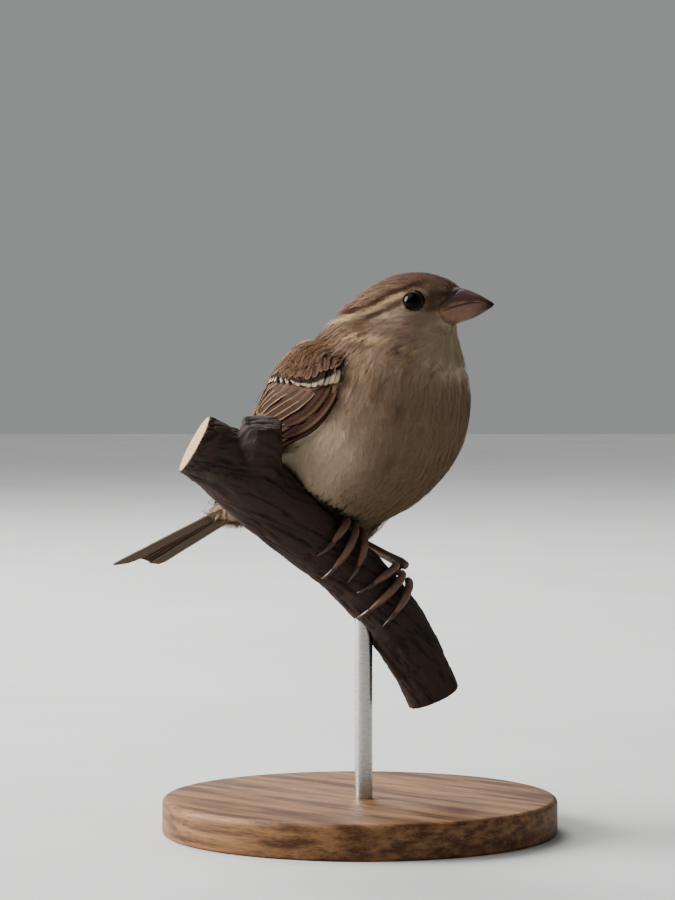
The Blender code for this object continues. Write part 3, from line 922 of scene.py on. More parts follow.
@dataclass
class Markings:
    """Where each colour of the plumage lies."""

    figure: Figure
    colours: Plumage = field(default_factory=Plumage)
    brow_line: tuple[Pair, ...] = (
        # forward of the eyes, and above them
        (-18.0, -3.9), (-14.4, -3.3), (-11.8, -2.7), (-9.4, -1.6), (-6.4, 0.0), (-4.5, 0.8),
        (-2.5, 1.6), (-1.0, 2.5), (4.0, 3.2), (9.0, 2.8),
    )
    strokes: tuple[tuple[str, float, float, tuple[Pair, ...]], ...] = (
        # on the side of the neck: a colour, its half width, its strength, and its line
        ("chestnut", 1.0, 0.6, ((-12.8, -4.6), (-10.6, -6.9))),
        ("collar", 0.60, 1.0,
         ((-14.4, -7.7), (-12.0, -8.4), (-9.3, -8.7), (-6.4, -8.5), (-5.4, -9.2))),
        ("eye_stripe", 0.45, 0.8, ((-12.4, -9.6), (-9.6, -10.1), (-7.0, -10.0))),
        ("collar", 0.50, 0.9, ((-0.6, -10.2), (1.4, -11.6), (3.0, -10.8))),
        ("lore", 0.45, 0.8, ((-2.6, -10.6), (-1.2, -11.6))),
        ("lore", 0.40, 0.6, ((3.8, -13.4), (4.8, -14.4))),
        ("collar", 0.7, 0.5, ((-16.8, -3.4), (-15.2, -3.6))),
        ("lore", 0.35, 0.5, ((-1.8, -11.8), (1.2, -12.1))),
    )
    back_lines: float = 26.0  # dark lines of the back, to a turn round it
    smudges: tuple[tuple[float, float, float, float], ...] = (
        # dark spots on the breast and belly: along the spine, round it in degrees, size, and strength
        (68.1, 125.0, 1.5, 0.45), (66.0, 143.0, 1.4, 0.5), (59.0, 150.0, 1.2, 0.25),
        (47.7, 146.0, 1.5, 0.7), (71.5, 140.0, 1.2, 0.25), (62.0, 118.0, 1.2, 0.2),
    )

    def head(self, points: Array) -> Array:
        """The head's colours: crown, brow, eye stripe, cheek, lore, collar and throat.

        Args:
            points: positions in metres.

        Returns:
            A colour for each.
        """
        c = self.colours
        ahead, side, up = self.figure.in_head(points)
        back = -ahead
        wave = 0.28 * value_noise(points, 2.2 * MM, 5)
        above = up - (np.interp(ahead, *zip(*self.brow_line)) + wave)
        lines = 0.5 + 0.5 * np.sin(side * 5.2 + 2.0 * value_noise(points, 3 * MM, 3))
        stripe = bump(above, -1.65, 0.45, 0.75) * smooth(back, 1.0, 2.4)
        stripe = stripe * (1 - smooth(back, 13.0, 16.0))
        brow = bump(above, 0.0, 0.26 + 0.026 * np.maximum(back, 0.0), 0.35)
        brow = brow * smooth(back, 1.6, 2.8) * (1.0 - 0.7 * smooth(back, 13.0, 17.0))
        around = np.hypot(ahead - 0.2, up - 0.3)  # from the middle of an eye
        flecks = smooth(value_noise(points, 0.9 * MM, 31), -0.25, 0.35)
        ring = bump(around, 2.75, 0.2, 0.45) * smooth(ahead + 0.6 * up, 0.6, 2.2) * flecks
        mottle = smooth(value_noise(points, 0.75 * MM, 8), 0.25, 0.7) * smooth(-above, 2.6, 3.6)
        base = painted(
            mix(c.cheek, c.crown, smooth(above, -0.3, 0.7)),
            (c.crown_streak, 0.55 * lines * smooth(above, 0.9, 1.8)),
            (c.crown_streak, 0.9 * bump(above, 1.35, 0.35, 0.7) * smooth(back, -2.5, 0.5)),
            (c.eye_stripe, 0.85 * stripe),
            (c.brow, brow),
            (c.lore, 0.8 * smooth(ahead, 1.8, 3.2) * bump(up, 0.3, 1.7, 1.6)),
            (c.brow, 0.75 * ring),
            (c.eye_stripe, 0.8 * (1 - smooth(around, 1.8, 2.25))),
            (c.lore, 0.35 * mottle),
            (c.neck_side, 0.8 * smooth(back, 8.0, 12.5) * smooth(-above, 0.3, 1.5)),
        )
        flat = np.stack([ahead, up], axis=1)
        for name, half, strength, places in self.strokes:
            away = from_line(flat, np.array(places)) / half + 0.8 * wave
            base = mix(base, getattr(c, name), strength * (1 - smooth(away, 0.6, 1.5)))
        return mix(base, c.throat, 0.9 * smooth(-up, 3.6, 5.6) * smooth(ahead, 1.0, 4.0))

    def body(self, points: Array, along: Array, angle: Array) -> Array:
        """The trunk's and neck's colours, from the back round to the belly.

        Args:
            points: positions in metres.
            along: their places along the spine.
            angle: their angles round it, in degrees.

        Returns:
            A colour for each.
        """
        c, rump, neck = self.colours, self.figure.marks["rump"], self.figure.marks["neck"]
        side = np.abs(angle)
        flank = bump(side, 110.0, 14.0, 22.0) * smooth(along, rump - 4.0, neck - 6.0)
        under = painted(
            mix(c.belly, c.breast, smooth(along, rump + 20.0, neck - 4.0)),
            (c.vent, 1.0 - smooth(along, rump - 12.0, rump + 8.0)),
            # painted light: the lower flanks are laid on paler than their own buff
            (c.flank, 0.8 * flank * (1 - smooth(along, 54.0, 64.0))),
            # painted shade: darker down the middle of the lower breast and belly
            (c.middle, 0.8 * smooth(side, 126.0, 156.0) * (1 - smooth(along, 54.0, 76.0))),
        )
        upper = mix(c.rump, c.mantle, smooth(along, rump - 2.0, rump + 9.0))
        upper = mix(upper, c.nape, smooth(along, neck - 7.0, neck + 2.0))
        edge = 74.0 + 8.0 * value_noise(points, 6.0 * MM, 2)
        edge = edge - 12.0 * smooth(along, neck - 8.0, self.figure.marks["head"])
        base = mix(upper, under, smooth(side, edge - 12.0, edge + 12.0))
        for place, turn, size, strength in self.smudges:
            away = np.hypot(along - place, (side - turn) * 0.35) / size
            base = mix(base, c.lore, strength * (1 - smooth(away, 0.4, 1.5)))
        down = np.hypot(along - 38.0, (side - 136.0) * 0.3)
        return mix(base, c.down, 0.8 * (1 - smooth(down, 1.5, 4.0)))

    def at(self, points: Array) -> Array:
        """The plumage's linear colour at points on or near the surface.

        Args:
            points: positions in metres.

        Returns:
            A colour for each.
        """
        along, angle = self.figure.locate(points)
        neck, side = self.figure.marks["neck"], np.abs(angle)
        reach = 7.0 * smooth(side, 95.0, 135.0)
        low = neck - 3.0 - reach
        share = smooth(along, low, low + 6.0 + reach * 1.2)
        throat = smooth(side, 110.0, 150.0) * smooth(along, neck, self.figure.marks["head"] + 5)
        base = mix(self.body(points, along, angle), self.head(points), share)
        return mix(base, self.colours.throat, 0.7 * throat)

    def feather(self, points: Array, rng: np.random.Generator) -> dict[str, Array]:
        """The colours of contour feathers, by the parts of a feather.

        Args:
            points: a place on each.
            rng: for small differences between feathers.

        Returns:
            Rows of colours for the base, the web, the centre and the edge, and how strong the
            centre's streak is.
        """
        c, marks = self.colours, self.figure.marks
        along, angle = self.figure.locate(points)
        web = self.at(points) * rng.uniform(0.94, 1.06, (len(points), 1))
        upper = 1.0 - smooth(np.abs(angle), 58.0, 80.0)
        mantle = upper * smooth(along, marks["rump"] + 3.0, marks["rump"] + 10.0)
        mantle *= 1.0 - smooth(along, marks["neck"] - 5.0, marks["neck"] + 2.0)
        lines = 0.5 + 0.5 * np.cos(np.radians(angle) * self.back_lines)
        lines = lines + rng.normal(0, 0.25, len(points))
        dark = lines > 0.45
        head = smooth(along, marks["neck"], marks["head"] + 2.0)
        streak = np.maximum(0.95 * mantle * dark, 0.45 * upper * head)
        return {
            "web": web,
            "centre": mix(web * 0.55, c.mantle_dark, mantle),
            "edge": mix(web * 1.05, c.mantle_buff, mantle * np.where(dark, 0.15, 0.75)),
            # base: darker roots on the upper parts; on the under parts lighter than the web, painted light
            # that fills the shade between feathers
            "base": mix(web * (1.12 - 0.57 * upper)[:, None], c.feather_dark,
                        0.45 * upper * (1 - head)),
            "streak": np.maximum(streak, 0.05 * (1.0 - upper) * (1.0 - head)),
        }


# ---- skin ----
@dataclass
class Skin:
    """The one skin under the coat, without a seam."""

    figure: Figure
    markings: Markings
    voxel: float = 0.75
    closing: float = 0.45  # how much each solid grows to close the gaps between them
    depth: float = 0.42  # of the coat
    face_depth: float = 0.26
    wing_depth: float = 0.80
    mouth_inset: float = 0.25  # under the feathers at the corners of the mouth

    def build(self) -> None:
        """Makes the skin from the solids of the flesh."""
        figure, marks = self.figure, self.figure.marks
        full = Solid.of_nodes(figure.frame, *SKIN_NODES, "eye_right", "eye_left")
        made = full.grown(self.closing).remeshed(self.voxel).relaxed(6)
        along, angle = figure.locate(made.points)
        near, _ = nearest(figure.with_sockets(*SKIN_NODES).tree(), made.points)
        on_wing = 1.0 - smooth(nearest(figure.wings, near)[1] / MM, 0.02, 0.3)
        face = smooth(along, marks["neck"], marks["head"] + 4.0)
        depth = self.depth + (self.face_depth - self.depth) * face
        depth = depth + (self.wing_depth - depth) * on_wing
        points = near - made.normals() * (depth * MM)[:, None]
        made = Solid(figure.drawn_in(points, self.mouth_inset), made.faces).relaxed(2)
        # The skin is coloured lighter than the plumage, painted light that fills the shade in the gaps of
        # the coat.
        colour = mix(self.markings.at(made.points) * 1.15, self.markings.colours.panel, 0.7 * on_wing)
        add_piece(
            "skin", made, FeatherFinish("skin_down", 0.9), SKIN_NODES,
            {"Plumage": colour}, self.unwrapped(made.faces, along, angle),
        )

    def unwrapped(self, faces: Array, along: Array, angle: Array) -> Array:
        """An unwrap round the spine, cut along the belly, with a place for each corner."""
        across = (angle / 360.0 + 0.5)[faces]
        wide = across.max(1) - across.min(1) > 0.5
        across[wide] = np.where(across[wide] < 0.5, across[wide] + 1.0, across[wide])
        up = (along / self.figure.along[-1])[faces]
        return np.stack([0.02 + 0.94 * across * 0.98, 0.02 + 0.96 * up], axis=-1)


# ---- contour feathers ----
@dataclass
class Coat:
    """Contour feathers, each a shaft with separate barbs, that lie back along the body."""

    figure: Figure
    markings: Markings
    seed: int = 11
    nape_puff: float = 0.75  # that the feathers of the nape stand up
    eye_clear: float = 1.98  # from the middle of an eye
    sizes: dict[str, tuple[float, ...]] = field(default_factory=lambda: {
        # from the root of the tail to the bill
        "length": (5.0, 7.5, 7.2, 5.2, 3.8, 2.8, 1.8, 1.3),
        "width": (2.1, 2.1, 2.0, 1.5, 1.1, 0.85, 0.50, 0.35),
        "spacing": (1.35, 1.30, 1.25, 0.98, 0.74, 0.56, 0.41, 0.35),
        "lift": (0.06, 0.12, 0.10, 0.12, 0.13, 0.13, 0.11, 0.07),
        "sink": (0.7, 0.7, 0.7, 0.70, 0.65, 0.55, 0.45, 0.42),
    })
    eye_sizes: dict[str, float] = field(default_factory=lambda: {
        "length": 1.3, "width": 0.34, "spacing": 0.38, "sink": 0.4,
    })

    def fields(self, points: Array, along: Array) -> dict[str, Array]:
        """The length, width, spacing, lift and sink of the feathers at each place.

        Args:
            points: the roots.
            along: their places along the spine.

        Returns:
            An array for each, in millimetres.
        """
        rump, neck, head, bill = (self.figure.marks[key] for key in ("rump", "neck", "head", "bill"))
        places = (0.0, rump, rump + 22, neck, head + 1, head + 7, bill - 3, bill + 2)
        made = {key: np.interp(along, places, row) for key, row in self.sizes.items()}
        ahead, _, up = self.figure.in_head(points)
        near_eye = 1.0 - smooth(np.hypot(ahead, up), 2.8, 5.5)
        near_eye *= smooth(along, head, head + 4)
        for key, small in self.eye_sizes.items():
            made[key] = made[key] * (1 - near_eye) + small * near_eye
        return made

    def roots(self) -> tuple[Array, Array]:
        """Roots spread over the body at the spacing of their kind, and the normals there."""
        figure = self.figure
        corners = figure.bare.points[figure.bare.faces]
        middles = corners.mean(axis=1)
        spacing = self.fields(middles, figure.locate(middles)[0])["spacing"] * MM
        points, normals = scatter(corners, spacing, self.seed)
        hidden = covered(figure.outer, points, normals, 1.2)
        hidden |= covered(figure.wings, points, normals, 5.0)
        kept = ~(hidden | figure.past_face(points))
        return points[kept], normals[kept]

    def lie(self, points: Array, normals: Array, along: Array) -> Array:
        """The way that the feathers point at each root, back along the body.

        Args:
            points: the roots.
            normals: the skin's normals there.
            along: their places along the spine.

        Returns:
            Directions of length 1, square to the normals.
        """
        figure = self.figure
        ahead = unit(figure.read_at(along, figure.ahead))
        from_bill = unit(points - figure.bill_tip - figure.head_forward * 2 * MM)
        on_head = smooth(along, figure.marks["neck"] - 4.0, figure.marks["head"] + 2.0)
        back = mix(-ahead, from_bill, on_head)
        back[:, 2] -= 0.25 * (1.0 - on_head) * smooth(along, 0.0, 14.0)
        back += 0.07 * np.random.default_rng(self.seed + 1).normal(size=back.shape)
        return square_to(back, normals)

    def build(self) -> None:
        """Makes the contour feathers, one piece for each region."""
        figure = self.figure
        points, normals = self.roots()
        along, angle = figure.locate(points)
        fields = self.fields(points, along)
        nape = bump(along, figure.marks["head"] + 1.5, 1.0, 3.5)
        fields["lift"] += self.nape_puff * nape * (1.0 - smooth(np.abs(angle), 55.0, 85.0))
        rng = np.random.default_rng(self.seed + 2)
        length = fields["length"] * MM * rng.uniform(0.85, 1.15, len(points))
        lie = self.lie(points, normals, along)
        tufts = Tufts.laid(figure, points, normals, lie, length, fields, rng)
        clear = ~self.over_eye(tufts)
        colours = self.markings.feather(tufts.middle * 0.45 + tufts.tip * 0.55, rng)
        for name, (slot, chosen) in self.regions(along, angle).items():
            tufts.add_piece(name, slot, chosen & clear, colours, figure)

    def over_eye(self, tufts: Tufts) -> Array:
        """Whether a feather would lie over an eye.

        Args:
            tufts: the laid feathers.

        Returns:
            True for each feather over an eye.
        """
        found = np.zeros(len(tufts.root), bool)
        for side in Side:
            axis = self.figure.head_right * side.sign
            centre = self.figure.eyes[side] + 0.3 * MM * UPWARD
            for place in (tufts.root, tufts.middle, tufts.tip):
                level = (place - centre) @ axis
                flat = np.linalg.norm(place - centre - level[:, None] * axis, axis=1)
                found |= (level > 0) & (flat < self.eye_clear * MM)
        return found

    def regions(self, along: Array, angle: Array) -> dict[str, tuple[str, Array]]:
        """The pieces that the coat is made in: each one's material slot and its feathers.

        Args:
            along: the roots' places along the spine.
            angle: their angles round it.

        Returns:
            For each piece's name, its slot and which feathers it has.
        """
        marks = self.figure.marks
        face, head, neck = marks["bill"] - 6.0, marks["head"] + 1.0, marks["neck"] - 3.0
        low, body, breast = np.abs(angle) > 88.0, along < neck, along > marks["rump"] + 24
        return {
            "coat_face": ("plumage_head", along >= face),
            "coat_head": ("plumage_head", (along >= head) & (along < face)),
            "coat_neck": ("plumage_head", (along < head) & ~body),
            "coat_back": ("plumage_upper", body & ~low),
            "coat_breast": ("plumage_under", body & low & breast),
            "coat_belly": ("plumage_under", body & low & ~breast),
        }


def covered(tree: BVHTree, points: Array, normals: Array, reach: float) -> Array:
    """Whether a solid lies over each point, within a reach in millimetres."""
    starts = points + normals * 0.05 * MM
    return np.array([
        tree.ray_cast(Vector(start), Vector(normal), reach * MM)[0] is not None
        for start, normal in zip(starts, normals)
    ])


def dropped(tree: BVHTree, points: Array, normals: Array) -> Array:
    """Points dropped onto a surface along normals, or to its nearest place where they miss it."""
    placed = np.empty_like(points)
    for i, (place, normal) in enumerate(zip(points, normals)):
        hit = tree.ray_cast(Vector(place + normal * 5 * MM), Vector(-normal), 14 * MM)[0]
        placed[i] = tree.find_nearest(Vector(place))[0] if hit is None else hit
    return placed


@dataclass
class Tufts:
    """Many small feathers: the curve of each shaft, and the barbs that stand off it."""

    root: Array
    middle: Array
    tip: Array
    normal: Array
    width: Array
    rng: np.random.Generator
    barbs: int = 13  # on each side of a shaft
    ends: Pair = (0.10, 0.97)  # where along the shaft the first and last barbs stand
    splay: Curve = ((0.1, 0.5, 0.97), (34.0, 22.0, 7.0))  # of the barbs from the shaft, in degrees
    outline: Curve = ((0.1, 0.35, 0.7, 0.97), (0.90, 1.2, 1.1, 0.65))  # along the shaft
    sag: float = 0.10  # of a barb's tip, as a share of its reach
    patch: float = 0.003  # the width of a feather's place in the bake map

    @classmethod
    def laid(cls, figure: Figure, points: Array, normals: Array, lie: Array, length: Array,
             fields: dict[str, Array], rng: np.random.Generator, cut_short: bool = True) -> Tufts:
        """Lays feathers along the outermost surface.

        Args:
            figure: the bird.
            points: the roots, on the surface.
            normals: the surface's normals there.
            lie: the way that each feather points.
            length: of each, in metres.
            fields: the width, lift and sink of each, in millimetres.
            rng: for small differences.
            cut_short: whether a feather that would lie over a wing is shortened.

        Returns:
            The laid feathers.
        """
        if cut_short:
            tip = dropped(figure.clothed, points + lie * length[:, None], normals)
            over = nearest(figure.wings, tip)[1] < 0.02 * MM
            over &= np.abs(figure.locate(points)[1]) > 66.0
            length = np.where(over, length * 0.45, length)
        middle, tip = (
            dropped(figure.clothed, points + lie * (length * share)[:, None], normals)
            for share in (0.5, 1.0)
        )
        lift = fields["lift"][:, None] * MM
        root = points - normals * fields["sink"][:, None] * MM
        middle = middle + normals * lift * 0.5
        tip = tip + normals * lift * rng.uniform(0.3, 1.5, (len(points), 1))
        root, middle, tip = (figure.drawn_in(places) for places in (root, middle, tip))
        return cls(root, middle, tip, normals, fields["width"] * MM, rng)

    def add_piece(self, name: str, slot: str, chosen: Array, colours: dict[str, Array],
                  figure: Figure) -> None:
        """Adds one piece of the chosen feathers.

        Args:
            name: of the piece.
            chosen: which feathers.
            colours: for each feather, its colour at the base, in the middle, at the edge.
            figure: the bird.
        """
        pick = np.flatnonzero(chosen)
        root, middle, tip, normal = (rows[pick] for rows in (self.root, self.middle, self.tip, self.normal))
        shape = (len(pick), self.barbs)
        at = np.linspace(*self.ends, self.barbs)
        t = at[None, :, None]
        bend = 2 * middle - (root + tip) / 2
        base = (1 - t) ** 2 * root[:, None] + 2 * t * (1 - t) * bend[:, None] + t**2 * tip[:, None]
        along = unit(2 * (1 - t) * (bend - root)[:, None] + 2 * t * (tip - bend)[:, None])
        side = unit(np.cross(normal[:, None], along))
        turn = np.radians(np.interp(at, *self.splay)) + self.rng.normal(0, 0.10, shape)
        reach = self.width[pick][:, None] * np.interp(at, *self.outline)
        reach = (reach * self.rng.uniform(0.72, 1.15, shape))[..., None]
        length = np.linalg.norm(tip - root, axis=1)[:, None, None]
        half = along * (0.66 * length / self.barbs) * 0.5
        sag = np.cross(along, side) * (reach * self.sag)
        rows = []
        for sign in (-1.0, 1.0):
            far = (along * np.cos(turn)[..., None] + side * sign * np.sin(turn)[..., None]) * reach
            mid = base + far * 0.55 + along * (reach * 0.06) - sag * 0.25
            end = base + far + along * (reach * 0.22) - sag
            rows.append(np.stack([base - half, base + half, mid - half * 0.85, mid + half * 0.85, end], 2))
        points = np.stack(rows).reshape(-1, 3)
        total = len(pick) * self.barbs  # barbs on one side
        first = np.arange(0, len(points), 5)[:, None]
        faces = np.concatenate([
            starts + np.array(corners[::order])
            for starts, order in ((first[:total], -1), (first[total:], 1))
            for corners in ((0, 1, 3), (0, 3, 2), (2, 3, 4))
        ])
        tone = np.tile(np.repeat(at, 5), 2 * len(pick)) + np.tile([0, 0, 0.03, 0.03, 0.06], 2 * total)
        across = np.tile([0.0, 0.0, 0.55, 0.55, 1.0], 2 * total)
        owner = np.tile(np.repeat(np.arange(len(pick)), self.barbs * 5), 2)
        part = {key: rows[pick][owner] for key, rows in colours.items()}
        streak = part["streak"]
        shaft = bump(across, 0.0, 0.05 + 0.35 * streak, 0.40) * smooth(tone, 0.12, 0.5)
        edge = smooth(np.maximum(across, smooth(tone, 0.72, 1.0)), 0.45, 0.95)
        shade = painted(
            part["web"], (part["base"], 1 - smooth(tone, 0.15, 0.55)),
            (part["centre"], shaft * streak), (part["edge"], edge * (0.85 - 0.3 * streak)),
        )
        spot, angle = figure.locate(self.root[pick])
        middles = np.stack([angle / 360.0 + 0.5, spot / figure.along[-1]], axis=1)[owner] * 0.94 + 0.03
        within = np.stack([across * np.repeat([-0.5, 0.5], len(across) // 2), tone - 0.5], axis=1)
        add_piece(
            name, Solid(points, faces), FeatherFinish("barbs_" + slot), (),
            {"Plumage": shade}, (middles + self.patch * within)[faces], unit(normal)[owner],
        )


# ---- large feathers ----
class Pattern(Enum):
    """The marking of a large feather."""

    LESSER = "lesser"
    MEDIAN = "median"
    GREATER = "greater"
    TERTIAL = "tertial"
    FLIGHT = "flight"
    PRIMARY_COVERT = "primary covert"
    TAIL_SIDE = "outermost tail feather"
    VENT = "covert under the tail"
    TAIL = "tail"

    def colour(self, along: Array, outer: Array, c: Plumage) -> Array:
        """The colour at places on the vane.

        Args:
            along: from 0 at the root to 1 at the tip.
            outer: from -1 at the inner edge to 1 at the outer edge.
            c: the colours of the plumage.

        Returns:
            A colour for each place.
        """
        wide, inner = np.abs(outer), -outer
        shaft, dark, buff = bump(outer, 0.0, 0.03, 0.06), c.feather_dark, c.edge_buff
        if self is Pattern.LESSER:
            tip = smooth(along, 0.80, 0.97)
            return painted(c.chestnut, (dark, 0.5 * bump(outer, 0.0, 0.12, 0.35)),
                           (buff, 0.4 * smooth(np.maximum(wide, tip), 0.7, 1.0)))
        if self is Pattern.MEDIAN:
            bar = smooth(along + 0.10 * wide, 0.78, 0.84) * (1 - 0.4 * shaft)
            return painted(dark, (c.feather_brown, 1 - smooth(along, 0.2, 0.5)), (c.bar, bar),
                           (c.bar_end, smooth(along, 0.92, 0.99)))
        if self is Pattern.GREATER:
            rim = np.maximum(smooth(outer, 0.60, 0.85), 0.5 * smooth(inner, 0.75, 0.97))
            return painted(c.greater, (c.chestnut, 0.45 * smooth(inner, -0.2, 0.6)),
                           (buff, np.maximum(rim, smooth(along, 0.90, 0.97))),
                           (c.bar_end, 0.18 * (1 - smooth(along + 0.15 * wide, 0.36, 0.56))),
                           (c.edge_pale, 0.4 * smooth(outer, 0.80, 0.97)))
        if self is Pattern.TERTIAL:
            rim = np.maximum(smooth(outer, 0.36, 0.62), 0.9 * smooth(inner, 0.70, 0.88))
            return painted(dark, (buff, np.maximum(rim, smooth(along, 0.88, 0.96))),
                           (c.edge_pale, 0.5 * smooth(outer, 0.8, 1.0)))
        if self is Pattern.PRIMARY_COVERT:
            return painted(c.panel, (dark, 0.75 * smooth(inner, 0.1, 0.7)),
                           (dark, 0.5 * smooth(outer, 0.70, 0.95)),
                           (buff, 0.35 * bump(outer, 0.55, 0.05, 0.12)))
        if self is Pattern.VENT:
            return mix(c.vent, c.feather_brown, 0.5 * shaft + 0.35 * smooth(wide, 0.6, 1.0))
        if self is Pattern.TAIL_SIDE:
            return painted(dark, (c.vent, 0.35 * (outer < 0)), (c.vent, smooth(outer, 0.05, 0.3)))
        if self is Pattern.TAIL:
            return painted(c.feather_brown, (dark, 0.6 * shaft), (buff, 0.35 * smooth(wide, 0.80, 0.97)))
        return painted(c.feather_brown, (dark, 0.4 + 0.4 * smooth(inner, 0.0, 0.6)),
                       (c.edge_pale, 0.8 * smooth(outer, 0.62, 0.90)))


@dataclass
class Vanes:
    """A number of large feathers that make one piece, each a closed vane with a raised shaft."""

    colours: Plumage
    thickness: float = 0.22
    shaft: float = 0.10  # how far the shaft stands above the vane
    across: tuple[float, ...] = (-1.0, -0.86, -0.62, -0.34, -0.07, 0.0, 0.07, 0.34, 0.62, 0.86, 1.0)
    rows: int = 26
    feathers: list[Solid] = field(default_factory=list)
    shades: list[Array] = field(default_factory=list)
    barbs: list[Array] = field(default_factory=list)
    flats: list[Array] = field(default_factory=list)

    def add(self, path: Array, normals: Array, widths: Pair, pattern: Pattern, turn: float,
            camber: float, round_from: float, tone: float, outer_sign: float) -> None:
        """Adds one feather.

        Args:
            path: points of its shaft, from the root to the tip.
            normals: the upward direction at each.
            widths: of the vane on the inner and the outer side, in millimetres.
            pattern: its marking.
            turn: how far the outer edge is raised, as a slope.
            camber: how far the edges curve down, as a share of the width.
            round_from: where along it the tip starts to round off.
            tone: makes it lighter or darker.
            outer_sign: 1 where the outer side is to the right of the path seen from above.
        """
        t = np.linspace(0.0, 1.0, self.rows) ** 0.9
        places = t * (len(path) - 1)
        line, up = curve_at(path, places), unit(curve_at(normals, places))
        ahead = unit(np.gradient(line, axis=0))
        side = unit(np.cross(ahead, up)) * outer_sign
        up = square_to(up, ahead)
        end = np.clip((t - round_from) / (1 - round_from), 0.0, 1.0)
        swell = 0.30 + 0.70 * smooth(t, 0.0, 0.30)
        form = swell * np.sqrt(np.maximum(1 - end**2.2, 0.0)) + 0.015
        x = np.array(self.across)
        width = np.where(x > 0, widths[1], widths[0]) * MM
        ripple = 1 + 0.05 * np.sin(t * 21 + len(self.feathers) * 2.1)[:, None] * (np.abs(x) > 0.9)
        spread = x * width * form[:, None] * ripple
        rise = turn * spread - camber * np.abs(spread) ** 2 / (max(widths) * MM)
        sweep = -np.abs(spread) * 0.10 * (1 - end[:, None])
        middle = line[:, None] + side[:, None] * spread[..., None] + up[:, None] * rise[..., None]
        middle = middle + ahead[:, None] * sweep[..., None]
        thick = self.thickness * MM * (1 - 0.75 * np.abs(x) ** 1.5) * (1 - 0.6 * t)[:, None]
        ridge = self.shaft * MM * (np.abs(x) < 0.03) * (1 - 0.8 * t)[:, None]
        top = middle + up[:, None] * (thick / 2 + ridge)[..., None]
        under = middle - up[:, None] * (thick / 2 + ridge * 0.5)[..., None]
        ring = np.concatenate([top, under[:, -2:0:-1]], axis=1)
        sides = ring.shape[1]
        index = np.arange(self.rows * sides).reshape(self.rows, sides)
        caps = [(row[0], row[k], row[k + 1])[::order] for row, order in ((index[0], 1), (index[-1], -1))
                for k in range(1, sides - 1)]
        faces = np.concatenate([grid_faces(index), caps])
        self.feathers.append(Solid(ring.reshape(-1, 3), faces[:, ::-1] if outer_sign > 0 else faces))
        lay = np.tile(np.concatenate([x, x[-2:0:-1]]), self.rows)
        at = np.repeat(t, sides)
        below = np.tile(np.arange(sides) >= len(x), self.rows)
        reach = np.linalg.norm(np.diff(line, axis=0), axis=1).sum() / MM
        self.shades.append(pattern.colour(at, lay, self.colours) * tone)
        self.barbs.append(at * reach - np.abs(lay) * np.where(lay > 0, widths[1], widths[0]) * 1.1)
        self.flats.append(np.stack([lay * 0.5 + 0.5, at, below], axis=1))

    def add_piece(self, name: str, slot: str, replaces: Sequence[str] = ()) -> None:
        """Adds one piece of all the feathers, each with its own place in the bake map.

        Args:
            name: of the piece.
            replaces: the nodes that it stands for.
        """
        count = len(self.feathers)
        columns = math.ceil(math.sqrt(count * 4))
        cells = math.ceil(count / columns)
        flat = []
        for number, (across, along, below) in enumerate(rows.T for rows in self.flats):
            row, column = divmod(number, columns)
            across = across * 0.42 + below * (0.90 - across * 0.84)
            flat.append(np.stack([(column + 0.04 + across) / columns,
                                  (row + 0.06 + 0.88 * along) / cells], axis=1))
        whole = self.feathers[0].joined(*self.feathers[1:])
        add_piece(
            name, whole, VaneFinish("vane_" + slot), replaces,
            {"Plumage": np.concatenate(self.shades), "Barb": np.concatenate(self.barbs)},
            np.concatenate(flat)[whole.faces],
        )


@dataclass(frozen=True)
class Row:
    """A row of feathers on a folded wing, from the one nearest the back to the lowest.

    Places are shares of the wing: from its front to its tip, and from its upper edge to its lower.
    A pair of anything is for the first feather and for the last one.
    """

    count: int
    root: tuple[Pair, Pair]
    tip: tuple[Pair, Pair]
    width: Pair
    pattern: Pattern
    height: Pair
    turn: float
    outer_share: float
    round_from: float
    sag: float = 0.0  # how much further back the tips in the middle of the row reach
    bend: float = 0.0

    def sagging(self, share: Array | float) -> Array | float:
        """How much further back a tip reaches at a share of the row."""
        return self.sag * 4 * share * (1 - share)


